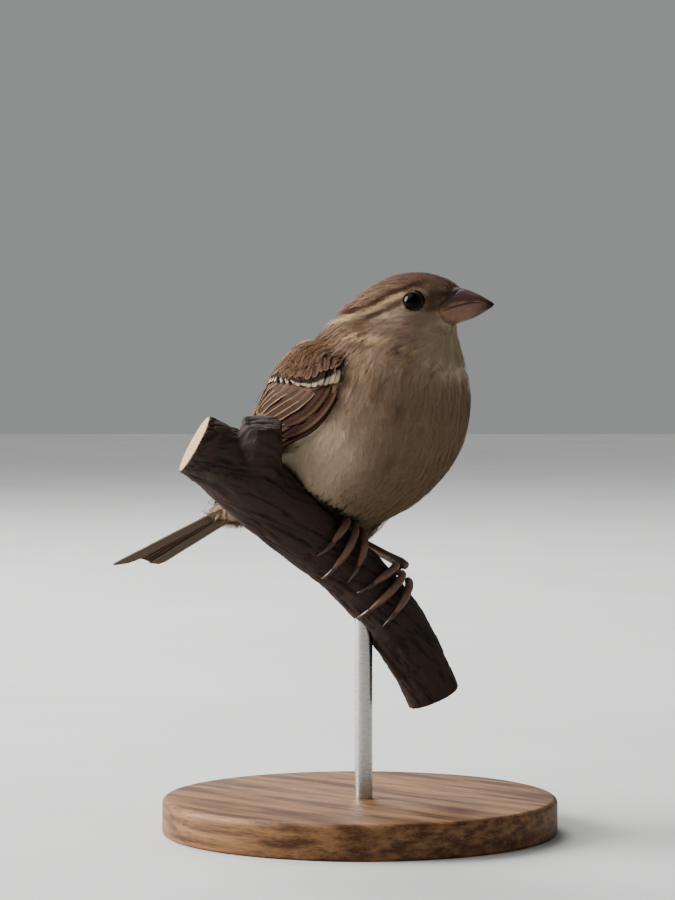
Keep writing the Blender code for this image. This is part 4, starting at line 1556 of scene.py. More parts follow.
@dataclass
class Wing:
    """One folded wing."""

    figure: Figure
    side: Side
    colours: Plumage
    shoulder_length: float = 4.4
    shoulder_spacing: float = 0.95
    shoulder_raised: float = 0.32  # above the rows of coverts
    shoulder_sizes: dict[str, float] = field(
        default_factory=lambda: {"width": 1.05, "lift": 0.35, "sink": -0.05},
    )
    short: tuple[Pattern, ...] = (Pattern.LESSER, Pattern.MEDIAN, Pattern.GREATER)
    rows: dict[str, Row] = field(default_factory=lambda: {
        "primaries": Row(
            9, ((0.38, 0.60), (0.30, 1.00)), ((0.74, 0.55), (1.0, 0.70)), (5.0, 4.0),
            Pattern.FLIGHT, (-0.55, -1.0), 0.16, 0.28, 0.62, 0.0, 0.02),
        "secondaries": Row(
            6, ((0.32, 0.42), (0.32, 0.68)), ((0.70, 0.38), (0.76, 0.60)), (5.6, 5.0),
            Pattern.FLIGHT, (-0.2, -0.5), 0.16, 0.34, 0.80),
        "tertials": Row(
            3, ((0.34, 0.08), (0.32, 0.32)), ((0.58, 0.10), (0.74, 0.36)), (7.2, 7.2),
            Pattern.TERTIAL, (0.15, -0.05), 0.08, 0.46, 0.74),
        "primary_coverts": Row(
            5, ((0.12, 0.86), (0.10, 1.04)), ((0.43, 0.86), (0.48, 1.03)), (4.2, 3.4),
            Pattern.PRIMARY_COVERT, (0.0, -0.2), 0.12, 0.4, 0.66),
        "alula": Row(
            3, ((0.04, 0.86), (0.03, 1.04)), ((0.30, 0.86), (0.35, 1.05)), (4.4, 3.6),
            Pattern.PRIMARY_COVERT, (0.15, 0.0), 0.10, 0.4, 0.66),
        "greater_coverts": Row(
            14, ((0.34, 0.04), (0.03, 0.88)), ((0.60, 0.08), (0.32, 0.88)), (3.8, 2.9),
            Pattern.GREATER, (0.2, 0.05), 0.10, 0.46, 0.74),
        "median_coverts": Row(
            18, ((0.36, 0.02), (-0.04, 0.88)), ((0.51, 0.05), (0.08, 0.94)), (4.6, 2.1),
            Pattern.MEDIAN, (0.5, 0.18), 0.08, 0.5, 0.86, -0.09),
        "lesser_coverts_1": Row(
            17, ((0.31, 0.00), (-0.10, 0.92)), ((0.463, 0.02), (0.035, 1.0)), (2.8, 2.3),
            Pattern.LESSER, (0.6, 0.42), 0.06, 0.5, 0.5, -0.09),
        "lesser_coverts_2": Row(
            16, ((0.24, 0.0), (-0.11, 0.88)), ((0.40, 0.0), (-0.01, 0.97)), (2.8, 2.3),
            Pattern.LESSER, (0.6, 0.46), 0.08, 0.5, 0.5, -0.09),
    })
    front: float = field(init=False)
    back: float = field(init=False)
    shares: Array = field(init=False)
    edges: Array = field(init=False)  # the upper and lower edge's angle at each share

    def __post_init__(self) -> None:
        """Reads the wing's edges from its solids."""
        solid = Solid.of_nodes(self.figure.frame, *self.side.wing)
        points, _ = scatter(solid.points[solid.faces], np.full(len(solid.faces), 0.7 * MM), 3)
        along, angle = self.figure.locate(points)
        self.front, self.back = np.percentile(along, 99.8), along.min()
        self.shares = np.linspace(0.0, 1.0, 25)
        share = (self.front - along) / (self.front - self.back)
        self.edges = np.transpose([
            np.percentile(angle[np.abs(share - place) < 0.03] * self.side.sign, (1.5, 98.5))
            for place in self.shares
        ])

    def surface(self, shares: Array) -> tuple[Array, Array]:
        """Points and normals on the wing's outer surface.

        Args:
            shares: (n, 2) shares from the front to the tip and from the upper edge to the lower.

        Returns:
            Points and normals.
        """
        along = self.front + (self.back - self.front) * shares[:, 0]
        upper, lower = (np.interp(shares[:, 0], self.shares, edge) for edge in self.edges)
        return self.figure.surface(along, self.side.sign * (upper + shares[:, 1] * (lower - upper)))

    def build(self) -> None:
        """Makes the wing's feathers."""
        flight = Vanes(self.colours, thickness=0.18, shaft=0.08)
        coverts = Vanes(self.colours, thickness=0.10, shaft=0.05)
        rng = np.random.default_rng(21)
        for row in self.rows.values():
            for k in range(row.count):
                vanes = coverts if row.pattern in self.short else flight
                self.feather(vanes, row, k / (row.count - 1), rng)
        wing = "wing_" + self.side.word
        flight.add_piece(wing + "_flight_feathers", "flight_feathers", self.side.wing[1:])
        coverts.add_piece(wing + "_covert_feathers", "plumage_upper")
        self.shoulder()

    def shoulder(self) -> None:
        """The small soft feathers that cover the front of the wing, above the black band."""
        rng = np.random.default_rng(23)
        last = self.rows["lesser_coverts_1"]
        area = rng.uniform((-0.02, 0.0), (0.42, 0.94), (2600, 2))
        share = area[:, 1]
        line = between((last.tip[0][0], last.tip[1][0]), share) + last.sagging(share)
        reach = self.shoulder_length * (1.0 - 0.4 * smooth(share, 0.6, 1.0))
        chosen = area[:, 0] < line - reach / (self.front - self.back)
        area, reach = area[chosen], reach[chosen]
        points, normals = self.surface(area)
        kept = thinned(points, np.full(len(points), self.shoulder_spacing * MM))
        points, normals, area, reach = (rows[kept] for rows in (points, normals, area, reach))
        count = len(points)
        lie = unit(self.surface(area + (0.03, 0.008))[0] - points)
        lie = square_to(lie + 0.06 * rng.normal(size=(count, 3)), normals)
        fields = {key: np.full(count, value) for key, value in self.shoulder_sizes.items()}
        length = reach * MM * rng.uniform(0.85, 1.15, count)
        tufts = Tufts.laid(self.figure, points, normals, lie, length, fields, rng, cut_short=False)
        raised = normals * self.shoulder_raised * MM
        tufts.root += raised * 0.3
        tufts.middle += raised
        tufts.tip += raised
        c = self.colours
        shade = mix(c.chestnut, c.edge_buff, 0.35 * rng.random(count) ** 2)
        brace = 0.9 * (1 - smooth(area[:, 1], 0.06, 0.20)) * (rng.random(count) < 0.5)
        web = mix(shade, c.brace, brace) * rng.uniform(0.85, 1.15, (count, 1))
        colours = {
            "streak": 0.35 + 0.5 * rng.random(count),
            "web": web,
            "centre": mix(web, c.feather_dark, 0.8),
            "base": web * 0.62,
            "edge": mix(web, c.edge_buff, 0.55 * rng.random(count)),
        }
        name = "coat_shoulder_" + self.side.word
        tufts.add_piece(name, "plumage_upper", np.ones(count, bool), colours, self.figure)

    def feather(self, vanes: Vanes, row: Row, share: float, rng: np.random.Generator) -> None:
        """Adds one feather of a row.

        Args:
            vanes: takes it.
            row: its row.
            share: its place in the row, from 0 to 1.
            rng: for small differences.
        """
        root = between(row.root, share)
        tip = between(row.tip, share) + rng.normal(0, 0.004, 2) + (row.sagging(share), 0.0)
        t = np.linspace(0.0, 1.0, 9)
        places = root + (tip - root) * t[:, None]
        places[:, 1] += row.bend * np.sin(np.pi * t)
        points, normals = self.surface(places)
        for _ in range(2):
            points[1:-1] += 0.5 * ((points[:-2] + points[2:]) / 2 - points[1:-1])
            normals[1:-1] = unit(normals[1:-1] + 0.5 * (normals[:-2] + normals[2:]))
        out = smooth(t, 0.0, 0.4)  # the root lies under the skin's feathers
        lift = between(row.height, share) * MM * out - 0.7 * MM * (1 - out) - 0.45 * MM
        width, outer = between(row.width, share), row.outer_share
        vanes.add(points + normals * lift[:, None], normals, (width * (1 - outer), width * outer),
                  row.pattern, row.turn, 0.10, row.round_from, rng.uniform(0.85, 1.15),
                  -self.side.sign)


@dataclass
class Tail:
    """The twelve tail feathers in a narrow fan, and the soft coverts under its root."""

    figure: Figure
    colours: Plumage
    pairs: int = 6
    width: float = 5.8
    step: float = 0.09  # down from one feather to the next
    arch: float = 0.60  # that the outermost feathers lie below the middle
    swing: float = -3.0  # of the tip, to the left
    spread: float = 8.0  # of the outermost shafts' tips, to each side
    root_spread: float = 3.4
    slant: tuple[float, float, float] = (-0.38, 0.0, 1.0)  # the upward direction of the vanes
    coverts: tuple[tuple[float, float, float], ...] = (
        # each row's roots and tips from the front of the tail, and how far below its top
        (0.0, -17.0, -0.9), (4.0, -10.5, -1.6),
    )
    covert_half: int = 3  # coverts to each side of the middle one
    nodes: tuple[str, ...] = ("tail_left", "tail_middle", "tail_right")

    def build(self) -> None:
        """Makes the tail."""
        low, high = box_of("tail_middle")
        vanes = Vanes(self.colours, thickness=0.26)
        rng = np.random.default_rng(8)
        for pair in reversed(range(self.pairs)):
            share = (pair + 0.3) / (self.pairs - 0.7)
            outer = self.width * (0.46 - 0.05 * pair)
            pattern = Pattern.TAIL_SIDE if pair == self.pairs - 1 else Pattern.TAIL
            for sign in (1.0, -1.0):
                end = low[0] + (1.8 - 1.2 * share - 0.6 * share * sign) * MM
                sides = np.array([self.root_spread, self.spread]) * sign * share
                path = self.path((high[0] - 2.0 * MM, end), sides, -0.05 - pair * self.step)
                vanes.add(path, self.normals(len(path), 1.0), (self.width - outer, outer), pattern,
                          0.0, 0.02, 0.93, rng.uniform(0.92, 1.08), sign)
        for row, (first, last, below) in enumerate(self.coverts):
            for k in range(-self.covert_half, self.covert_half + 1):
                side = k * (1.5 + 0.2 * row)
                ends = high[0] + first * MM, high[0] + (last + 0.8 * abs(k) + rng.normal(0, 0.3)) * MM
                path = self.path(ends, np.array([side * 0.9, side * 1.15]), below)
                path[:, 2] -= 3.0 * (1 - np.linspace(0, 1, len(path))) ** 1.5 * MM
                vanes.add(path, self.normals(len(path), -1.0), (2.0, 2.0), Pattern.VENT,
                          0.0, 0.15, 0.6, rng.uniform(0.95, 1.05), 1.0)
        vanes.add_piece("tail_feathers", "flight_feathers", self.nodes)

    def path(self, ends: Pair, sides: Array, rise: float) -> Array:
        """A straight shaft that lies along the top of the tail.

        Args:
            ends: where it starts and ends, along X in metres.
            sides: how far to the left it starts and ends, in millimetres.
            rise: how far above the tail's top it lies.

        Returns:
            Points of the shaft.
        """
        tree = Solid.of_nodes(self.figure.frame, "tail_middle").tree()
        low, high = box_of("tail_middle")
        known = [high[0] - 6 * MM, low[0] + 12 * MM]
        tops = [tree.ray_cast(Vector((x, 0.0, high[2] + 0.02)), Vector(-UPWARD))[0].z for x in known]
        slope = (tops[0] - tops[1]) / (known[0] - known[1])
        x, y = (np.linspace(*pair, 12) for pair in (ends, sides))
        drop = self.arch * (y / self.spread) ** 2 - rise - 0.5
        y = y + self.swing * (x - high[0]) / (low[0] - high[0])
        return np.stack([x, y * MM, tops[0] + (x - known[0]) * slope - drop * MM], axis=1)

    def normals(self, count: int, sign: float) -> Array:
        """The upward direction of the tail's vanes, or the downward one."""
        return np.tile(unit(np.array([self.slant])) * sign, (count, 1))


# ---- eyes ----
@dataclass(frozen=True)
class EyeFinish(Finish):
    """A dark brown iris round a black pupil, under a wet cornea."""

    roughness: float = 0.12
    pupil: Colour = (0.002, 0.0017, 0.0015)
    iris: Colour = (0.013, 0.0065, 0.0035)

    def dress(self, nodes: Nodes) -> None:
        """Pupil and iris from the distance to the eye's axis."""
        iris = nodes.shaded(self.iris, nodes.grain(4200.0, 2.0, 0.75, 1.25))
        share = nodes.ramp(nodes.attribute("Away", False), 0.50, 0.62)
        nodes.set(Base_Color=nodes.blend(self.pupil, iris, share), Specular_IOR_Level=0.0,
                  Coat_Weight=0.55, Coat_Roughness=0.03, Coat_IOR=1.33)


@dataclass(frozen=True)
class LidFinish(Finish):
    """The bare rim of the eyelids, grey-brown and finely wrinkled."""

    roughness: float = 0.8
    dark: Colour = (0.022, 0.016, 0.012)
    light: Colour = (0.048, 0.035, 0.027)

    def dress(self, nodes: Nodes) -> None:
        """Dull skin with fine wrinkles."""
        wrinkle = nodes.noise(6500.0)
        nodes.set(Base_Color=nodes.blend(self.dark, self.light, nodes.ramp(wrinkle, 0.35, 0.65)),
                  Specular_IOR_Level=0.15)
        nodes.bump(wrinkle, 0.05, 0.8)


@dataclass
class Eye:
    """One eye and the rim of its lids."""

    figure: Figure
    side: Side
    rings: int = 40
    sides: int = 56
    opening: float = 0.70  # the lids' opening, as a share of the eye's radius
    lid_width: float = 0.85  # of the bare skin round it
    lid_thick: float = 0.10
    lid_sides: int = 96
    lid_form: tuple[Pair, ...] = (
        # from the opening out, as a share of the width, and above the ball, of the thickness
        (0.0, 0.02), (-0.02, 0.55), (0.08, 1.0), (0.20, 0.85), (0.36, 0.35), (0.60, 0.30),
        (0.85, 0.05), (1.0, -0.6), (0.8, -1.4), (0.3, -1.0),
    )

    def build(self) -> None:
        """Makes the eyeball and its rim."""
        node = "eye_" + self.side.word
        low, high = box_of(node)
        centre, radius = (low + high) / 2, float((high - low)[2]) / 2
        ahead = self.figure.head_forward
        axis = unit(self.figure.head_right * self.side.sign + 0.14 * ahead + 0.12 * UPWARD)
        ball = self.ball(centre, radius, axis)
        away = np.linalg.norm(np.cross(ball.points - centre, axis), axis=1) / radius
        add_piece(node + "_ball", ball, EyeFinish("wet_eye"), (node,), {"Away": away})
        add_piece(node + "_lids", self.lids(centre, radius, axis), LidFinish("lids"))

    def ball(self, centre: Array, radius: float, axis: Array) -> Solid:
        """A ball with a slightly raised cornea, turned about its axis.

        Args:
            centre: of the eye.
            radius: of the eye, in metres.
            axis: the way that it looks.

        Returns:
            The ball.
        """
        up = unit(np.cross(axis, self.figure.head_forward))
        polar = np.linspace(0, np.pi, self.rings)
        reach = radius * (1.0 - 0.015 + 0.02 * bump(polar, 0.0, 0.35, 0.45))
        cosine, sine = (row[:, None] for row in circle(self.sides))
        ring = cosine * up + sine * np.cross(axis, up)
        polar = polar[:, None, None]
        points = centre + reach[:, None, None] * (np.cos(polar) * axis + np.sin(polar) * ring)
        return Solid.of_rings(points[1:-1], points[0, 0], points[-1, 0])

    def lids(self, centre: Array, radius: float, axis: Array) -> Solid:
        """The lids: a soft wrinkled collar that hugs the ball round an almond opening.

        Args:
            centre: of the eye.
            radius: of the eye, in metres.
            axis: the way that it looks.

        Returns:
            The lids as one closed solid.
        """
        ahead = unit(self.figure.head_forward - axis * (self.figure.head_forward @ axis))
        up = np.cross(ahead, axis) * -self.side.sign
        turn = np.linspace(0, 2 * np.pi, self.lid_sides, endpoint=False)
        flat = np.cos(turn)[:, None] * ahead + np.sin(turn)[:, None] * up
        inner = np.arcsin(self.opening) * (1.0 + 0.07 * np.cos(2 * turn) - 0.03 * np.sin(turn))
        wrinkle = 0.10 * np.sin(turn * 23) + 0.07 * np.sin(turn * 37 + 1.0)
        rows = []
        for share, height in self.lid_form:
            polar = inner + self.lid_width * MM / radius * share
            lift = self.lid_thick * MM * (height + wrinkle * (0.2 < share < 0.9))
            row = np.cos(polar)[:, None] * axis + np.sin(polar)[:, None] * flat
            rows.append(centre + (radius + 0.01 * MM + lift)[:, None] * row)
        return Solid.of_rings(np.stack(rows, axis=1))


# ---- bill and feet ----
@dataclass(frozen=True)
class HornFinish(Finish):
    """The horn of the bill: pinkish brown, dusky along its ridge and tip, with faint growth lines."""

    roughness: float = 0.48
    depth: Colour = (0.0012, 0.0006, 0.0003)  # in metres, that red, green and blue light go in

    def dress(self, nodes: Nodes) -> None:
        """Colours from the mesh, with fine lines."""
        shade = nodes.shaded(nodes.attribute("Horn"), nodes.grain(1500.0, 4.0, 0.88, 1.10))
        nodes.set(Base_Color=shade, Specular_IOR_Level=0.22, Subsurface_Weight=0.08,
                  Subsurface_Radius=self.depth)
        nodes.bump(nodes.noise(3200.0, 4.0), 0.03, 0.5)


@dataclass(frozen=True)
class LegFinish(Finish):
    """Scaly skin of a leg, pinkish brown and darker between the scutes."""

    roughness: float = 0.5
    light: Colour = (0.200, 0.105, 0.072)
    dark: Colour = (0.080, 0.040, 0.029)

    def dress(self, nodes: Nodes) -> None:
        """Colour by the scutes that the mesh carries."""
        spots = nodes.ramp(nodes.noise(1800.0, 4.0), 0.35, 0.65)
        share = nodes.math("MULTIPLY", nodes.ramp(nodes.attribute("Scute", False), 0.0, 0.6),
                           nodes.ramp(spots, 0.0, 1.0, 0.6, 1.0))
        nodes.set(Base_Color=nodes.blend(self.dark, self.light, share), Coat_Weight=0.08,
                  Coat_Roughness=0.35)
        nodes.bump(nodes.noise(4500.0), 0.03, 0.5)


@dataclass(frozen=True)
class ClawFinish(Finish):
    """Dark horn, uneven in tone."""

    roughness: float = 0.3
    dark: Colour = (0.030, 0.018, 0.012)
    light: Colour = (0.085, 0.052, 0.036)

    def dress(self, nodes: Nodes) -> None:
        """Dark horn with a fine grain."""
        nodes.set(Base_Color=nodes.blend(self.dark, self.light, nodes.grain(2600.0, 4.0)),
                  Coat_Weight=0.3, Coat_Roughness=0.2)
        nodes.bump(nodes.noise(5000.0, 2.0), 0.01, 0.4)


@dataclass
class Bill:
    """The bill's two halves, shut, with a nostril on each side and a fringe of face feathers."""

    figure: Figure
    markings: Markings
    stations: tuple[tuple[float, ...], ...] = (
        # ahead of the eyes; half the width; the ridge, the bite line and the underside above them
        (4.0, 4.95, 2.60, -2.50, -4.30), (5.2, 4.95, 3.20, -2.00, -4.75),
        (6.5, 4.55, 3.50, -1.40, -4.85), (8.0, 3.95, 3.22, -0.85, -4.50),
        (9.5, 3.35, 2.80, -0.40, -4.05), (11.0, 2.70, 2.25, -0.05, -3.50),
        (12.5, 2.02, 1.62, 0.10, -2.80), (13.6, 1.45, 1.05, 0.05, -2.20),
        (14.7, 0.88, 0.48, -0.15, -1.55), (15.5, 0.45, 0.02, -0.40, -1.05),
        (16.1, 0.04, -0.48, -0.53, -0.58),
    )
    rings: int = 72
    upper_form: float = 0.88  # the powers that round the section of each half
    lower_form: float = 0.78
    overhang: float = 0.35  # of the upper half's tip beyond the lower half's
    lap: float = 0.12  # of the upper half's edge over the lower half
    nostril: Pair = (7.9, 2.15)  # ahead of the eyes, and above them
    nostril_deep: float = 0.16
    uneven: float = 0.025
    tufts: int = 840  # in the fringe
    chin_tufts: int = 220
    pink: Colour = (0.250, 0.145, 0.105)
    mauve: Colour = (0.085, 0.045, 0.043)
    # dusky: the dark horn of the ridge and tip, also laid on as painted shade along the bite line, in the
    # nostrils and at the root of the ridge
    dusky: Colour = (0.026, 0.016, 0.013)
    gape: Colour = (0.330, 0.190, 0.080)

    def build(self) -> None:
        """Makes the two halves and the fringe."""
        for node, upper in (("bill_upper", True), ("bill_lower", False)):
            solid, ahead, rise = self.shaped(upper)
            colour = self.colour(solid.points, ahead, rise, upper)
            add_piece(node + "_horn", solid, HornFinish("bill_horn"), (node,),
                      {"Horn": colour})
        self.fringe()

    def read(self, ahead: Array) -> Array:
        """The half width, ridge, bite line and underside at places along the bill."""
        rows = np.array(self.stations)
        return curve_at(rows, np.interp(ahead, rows[:, 0], np.arange(len(rows))))[:, 1:].T

    def shaped(self, upper: bool) -> tuple[Solid, Array, Array]:
        """One half of the bill.

        Args:
            upper: whether it is the upper half.

        Returns:
            The solid, how far along the bill each point is, and how high up its side, from 0 at
            the bite line to 1 at the ridge or at the underside.
        """
        first, last = self.stations[0][0], self.stations[-1][0]
        reach = last - first if upper else last - self.overhang - first
        ahead = first + reach * np.sin(np.linspace(0, np.pi / 2, self.rings)) ** 1.15
        width, ridge, bite, under = (row[:, None] for row in self.read(ahead))
        turn, inside = np.linspace(0, np.pi, 41), np.linspace(-0.9, 0.9, 9)
        if upper:
            edge = bite - self.lap * np.minimum(1.0, width)
            up = edge + (ridge - edge) * np.sin(turn) ** self.upper_form
            hollow = bite + 0.10 * width * (1 - inside**2)
        else:
            width = width - 0.10 * np.minimum(1.0, width)
            up = bite - (bite - under) * np.sin(turn) ** self.lower_form
            hollow = bite + 0.04 * (1 - inside**2)
        side = width * np.append(np.cos(turn), inside)
        around = np.broadcast_to(ahead[:, None], side.shape)
        rise = np.broadcast_to(np.append(np.sin(turn), 0.0 * inside), side.shape)
        rings = self.figure.from_head(around, side, np.concatenate([up, hollow], axis=1))
        middle = self.figure.from_head(ahead, 0.0, ((ridge if upper else under) + bite)[:, 0] / 2)
        solid = Solid.of_rings(rings, middle[0], middle[-1])
        ahead, rise = (np.append(row, (row[0, 0], row[-1, 0])) for row in (around, rise))
        return self.worn(solid, upper), ahead, rise

    def worn(self, solid: Solid, upper: bool) -> Solid:
        """The half with its nostrils dented in and its surface a little uneven."""
        normals = solid.normals() * MM
        points = solid.points - normals * self.nostril_deep * self.dent(solid.points, upper)[:, None]
        points += normals * self.uneven * value_noise(points, 0.7 * MM, 4)[:, None]
        return Solid(points, solid.faces)

    def dent(self, points: Array, upper: bool) -> Array:
        """How deep in a nostril each point is, from 0 to 1."""
        ahead, _, up = self.figure.in_head(points)
        out, high = ahead - self.nostril[0], up - self.nostril[1]
        long, wide = (0.55 * out + 0.83 * high) / 0.70, (0.83 * out - 0.55 * high) / 0.26
        return np.exp(-(long**2 + wide**2)) * upper

    def colour(self, points: Array, ahead: Array, rise: Array, upper: bool) -> Array:
        """Mauve above, pink below, with a dusky ridge and tip, a yellowish gape, and painted shade along
        the bite line, in the nostrils and at the root of the ridge.

        Args:
            points: positions in metres.
            ahead: how far along the bill each is.
            rise: how high up its side, from 0 to 1.
            upper: whether they are on the upper half.

        Returns:
            A colour for each.
        """
        share = (ahead - self.stations[0][0]) / (self.stations[-1][0] - self.stations[0][0])
        patchy = 0.12 * value_noise(points, 1.4 * MM, 6)
        streak = 0.5 + 0.5 * value_noise(np.stack([ahead * 0.25, rise * 9, rise], axis=1), 1.0, 9)
        if upper:
            base = mix(self.pink, self.mauve, smooth(rise + patchy, 0.02, 0.22))
            # the root of the ridge is darker: partly the dark bristled patch over the nostrils, partly
            # painted shade that dulls a highlight there
            root = 0.9 * smooth(rise, 0.35, 0.7) * (1 - smooth(share + patchy, 0.10, 0.24))
            dark = np.maximum(0.45 * smooth(rise + patchy, 0.80, 1.05), root)
        else:
            base = mix(self.pink, self.mauve, 0.35 * smooth(share + patchy, 0.4, 0.8))
            dark = 0.5 * smooth(rise + patchy, 0.75, 1.05)
        # painted shade: a dark line along the bite line, where the upper half laps the lower
        bite = 0.7 * (1 - smooth(rise, 0.02, 0.10)) * smooth(share, 0.15, 0.3)
        # the dusky tip is the horn's own colour; the darkened dents of the nostrils are painted shade
        for other in (smooth(share + patchy, 0.74, 1.0), bite, self.dent(points, upper) * 1.2):
            dark = np.maximum(dark, other)
        corner = (1 - smooth(rise, 0.10, 0.55)) * (1 - smooth(share + patchy, 0.10, 0.26))
        return painted(base * (0.88 + 0.24 * streak)[:, None],
                       (self.dusky, np.minimum(dark, 1.0)), (self.gape, 0.6 * corner))

    def on_bill(self, ahead: Array, up: Array, way: Array, out: float) -> Array:
        """Points on the side of the bill, a little out from it.

        Args:
            ahead: of the eyes.
            up: above the eyes.
            way: 1 on the right and -1 on the left.
            out: the distance from the surface.

        Returns:
            Positions in metres.
        """
        width, ridge, bite, under = self.read(ahead)
        upper = up > bite
        height = np.where(upper, (up - bite) / (ridge - bite), (bite - up) / (bite - under))
        form = np.where(upper, 1 / self.upper_form, 1 / self.lower_form)
        side = width * np.sqrt(1 - (np.clip(height, 0.0, 0.995) ** form) ** 2) + out
        return self.figure.from_head(ahead, side * way, up + out * np.where(upper, 0.6, -0.6))

    def fringe(self) -> None:
        """Short feathers of the face that lie forward over the root of the bill."""
        rng, count = np.random.default_rng(31), self.tufts
        way = np.where(rng.random(count) < 0.5, 1.0, -1.0)
        up = rng.uniform(-4.9, np.where(np.arange(count) < self.chin_tufts, -3.9, 3.5))
        edge = np.interp(up, *zip(*self.figure.face_edge)) + rng.uniform(-1.0, 0.0, count)
        edge = edge - 0.25 * bump(up, -1.5, 1.0, 0.9)
        size = rng.uniform(0.8, 1.2, count) * (1 - 0.45 * smooth(up, 2.4, 3.4))
        root = self.on_bill(edge - 1.3 * size, up, way, 0.0)
        middle = self.on_bill(edge - 0.5 * size, up + rng.normal(0, 0.1, count), way, 0.14)
        tip = self.on_bill(edge + 0.2 * size, up + rng.normal(0, 0.2, count), way, 0.03)
        outward = unit(self.on_bill(edge, up, way, 1.0) - self.on_bill(edge, up, way, 0.0))
        tufts = Tufts(root, middle, tip, outward, np.full(count, 0.26 * MM), rng)
        colours = self.markings.feather(middle - self.figure.head_forward * 1.5 * MM, rng)
        tufts.add_piece("coat_bill_fringe", "plumage_head", np.ones(count, bool), colours, self.figure)


@dataclass
class Foot:
    """One foot: its leg and toes under one scaly skin, and its claws."""

    figure: Figure
    side: Side
    voxel: float = 0.2
    thicker: float = 0.22  # while the toes are made one
    scute: float = 0.85  # along the toe
    relief: float = 0.12
    nail: tuple[float, ...] = (0.60, 0.62, 0.50, 0.42)  # the radius from the toe to the claw

    def build(self) -> None:
        """Makes the foot and its claws."""
        toes, frame = self.side.toes, self.figure.frame
        flesh = ["tarsus_" + self.side.word, *toes]
        skin = Solid.of_nodes(frame, *flesh).grown(self.thicker)
        skin = skin.joined(*map(self.nail_root, toes)).remeshed(self.voxel).relaxed(4).grown(-0.06)
        fore = np.mean([middle_of(toe) for toe in toes[:3]], axis=0)
        ankle = between((fore, middle_of(toes[3])), 0.35)
        phase = np.linalg.norm(skin.points - ankle, axis=1) / MM / self.scute % 1.0
        scute = np.minimum(smooth(phase, 0.0, 0.14), 1 - smooth(phase, 0.93, 1.0) * 0.6)
        above = smooth(skin.normals()[:, 2] + 0.25, -0.2, 0.5)
        add_piece("foot_" + self.side.word, skin.grown(self.relief * (scute - 0.5) * above),
                  LegFinish("leg_scales"), flesh, {"Scute": 0.25 + 0.75 * scute * above})
        claws = [toe.replace("toe", "claw") for toe in toes]
        horn = Solid.of_nodes(frame, *claws).changed("SUBSURF", levels=2, render_levels=2)
        add_piece("claws_" + self.side.word, horn.grown(0.06), ClawFinish("claw_horn"), claws)

    def nail_root(self, toe: str) -> Solid:
        """The flesh that narrows from the end of a toe to its claw.

        Args:
            toe: the toe's node.

        Returns:
            A short tapered solid that reaches into both.
        """
        nodes = toe, toe.replace("toe", "claw")
        flesh, horn = (Solid.of_nodes(self.figure.frame, node) for node in nodes)
        ends = []
        for one, other in ((flesh, horn), (horn, flesh)):
            away = nearest(other.tree(), one.points)[1]
            ends.append(one.points[away < away.min() + 0.35 * MM].mean(axis=0))
        way = unit(ends[1] - ends[0])
        rows = np.array([ends[0] - way * 0.5 * MM, *ends, ends[1] + way * 0.45 * MM])
        line = curve_at(rows, np.linspace(0, 3, 9))
        across = unit(np.cross(way, np.array([0.3, 0.5, 0.8])))
        cosine, sine = (row[:, None] for row in circle(16))
        radius = np.interp(np.arange(9), (0, 3, 6, 8), self.nail)[:, None, None] * MM
        ring = radius * (cosine * across + sine * np.cross(way, across))
        return Solid.of_rings(line[:, None] + ring, line[0], line[-1])


# ---- perch and stand ----
@dataclass(frozen=True)
class BarkFinish(Finish):
    """Dry grey-brown bark with long ridges, inner bark where it has peeled, and pale cut wood."""

    roughness: float = 0.82
    # crest and hollow are both darker than the bark's own grey-brown, as painted shade of the branch; the
    # hollows are darker still, partly the bark's own fissures and partly painted shade
    crest: Colour = (0.046, 0.029, 0.022)
    hollow: Colour = (0.007, 0.004, 0.003)
    warm: Colour = (0.060, 0.030, 0.020)
    inner: Colour = (0.150, 0.040, 0.024)
    wood: Colour = (0.480, 0.340, 0.200)
    ring: Colour = (0.260, 0.160, 0.090)

    def dress(self, nodes: Nodes) -> None:
        """Colours by the height of the bark, darker in its hollows partly as painted shade, with peeled
        strips and cut ends.
        """
        fine = nodes.noise(900.0, 6.0, 0.65, nodes.attribute("Lay"))
        height = nodes.math("ADD", nodes.attribute("Height", False),
                            nodes.ramp(fine, 0.3, 0.7, -0.35, 0.35))
        # darker in the hollows: partly the bark's own colour, partly painted shade
        bark = nodes.blend(self.hollow, self.crest, nodes.ramp(height, 0.1, 0.9))
        warm = nodes.math("MULTIPLY", nodes.ramp(nodes.noise(160.0), 0.45, 0.65), 0.6)
        bark = nodes.blend(bark, self.warm, warm)
        bark = nodes.blend(bark, self.inner, nodes.attribute("Peel", False))
        rings = nodes.math("SINE", nodes.math("MULTIPLY", nodes.attribute("Ring", False), 9.0))
        wood = nodes.blend(self.wood, self.ring, nodes.ramp(rings, 0.1, 1.0, 0.0, 0.7))
        wood = nodes.blend(wood, self.ring, nodes.grain(2200.0, 4.0, 0.0, 0.25))
        nodes.set(Base_Color=nodes.blend(bark, wood, nodes.attribute("Cut", False)))
        nodes.bump(fine, 0.25, 0.8)


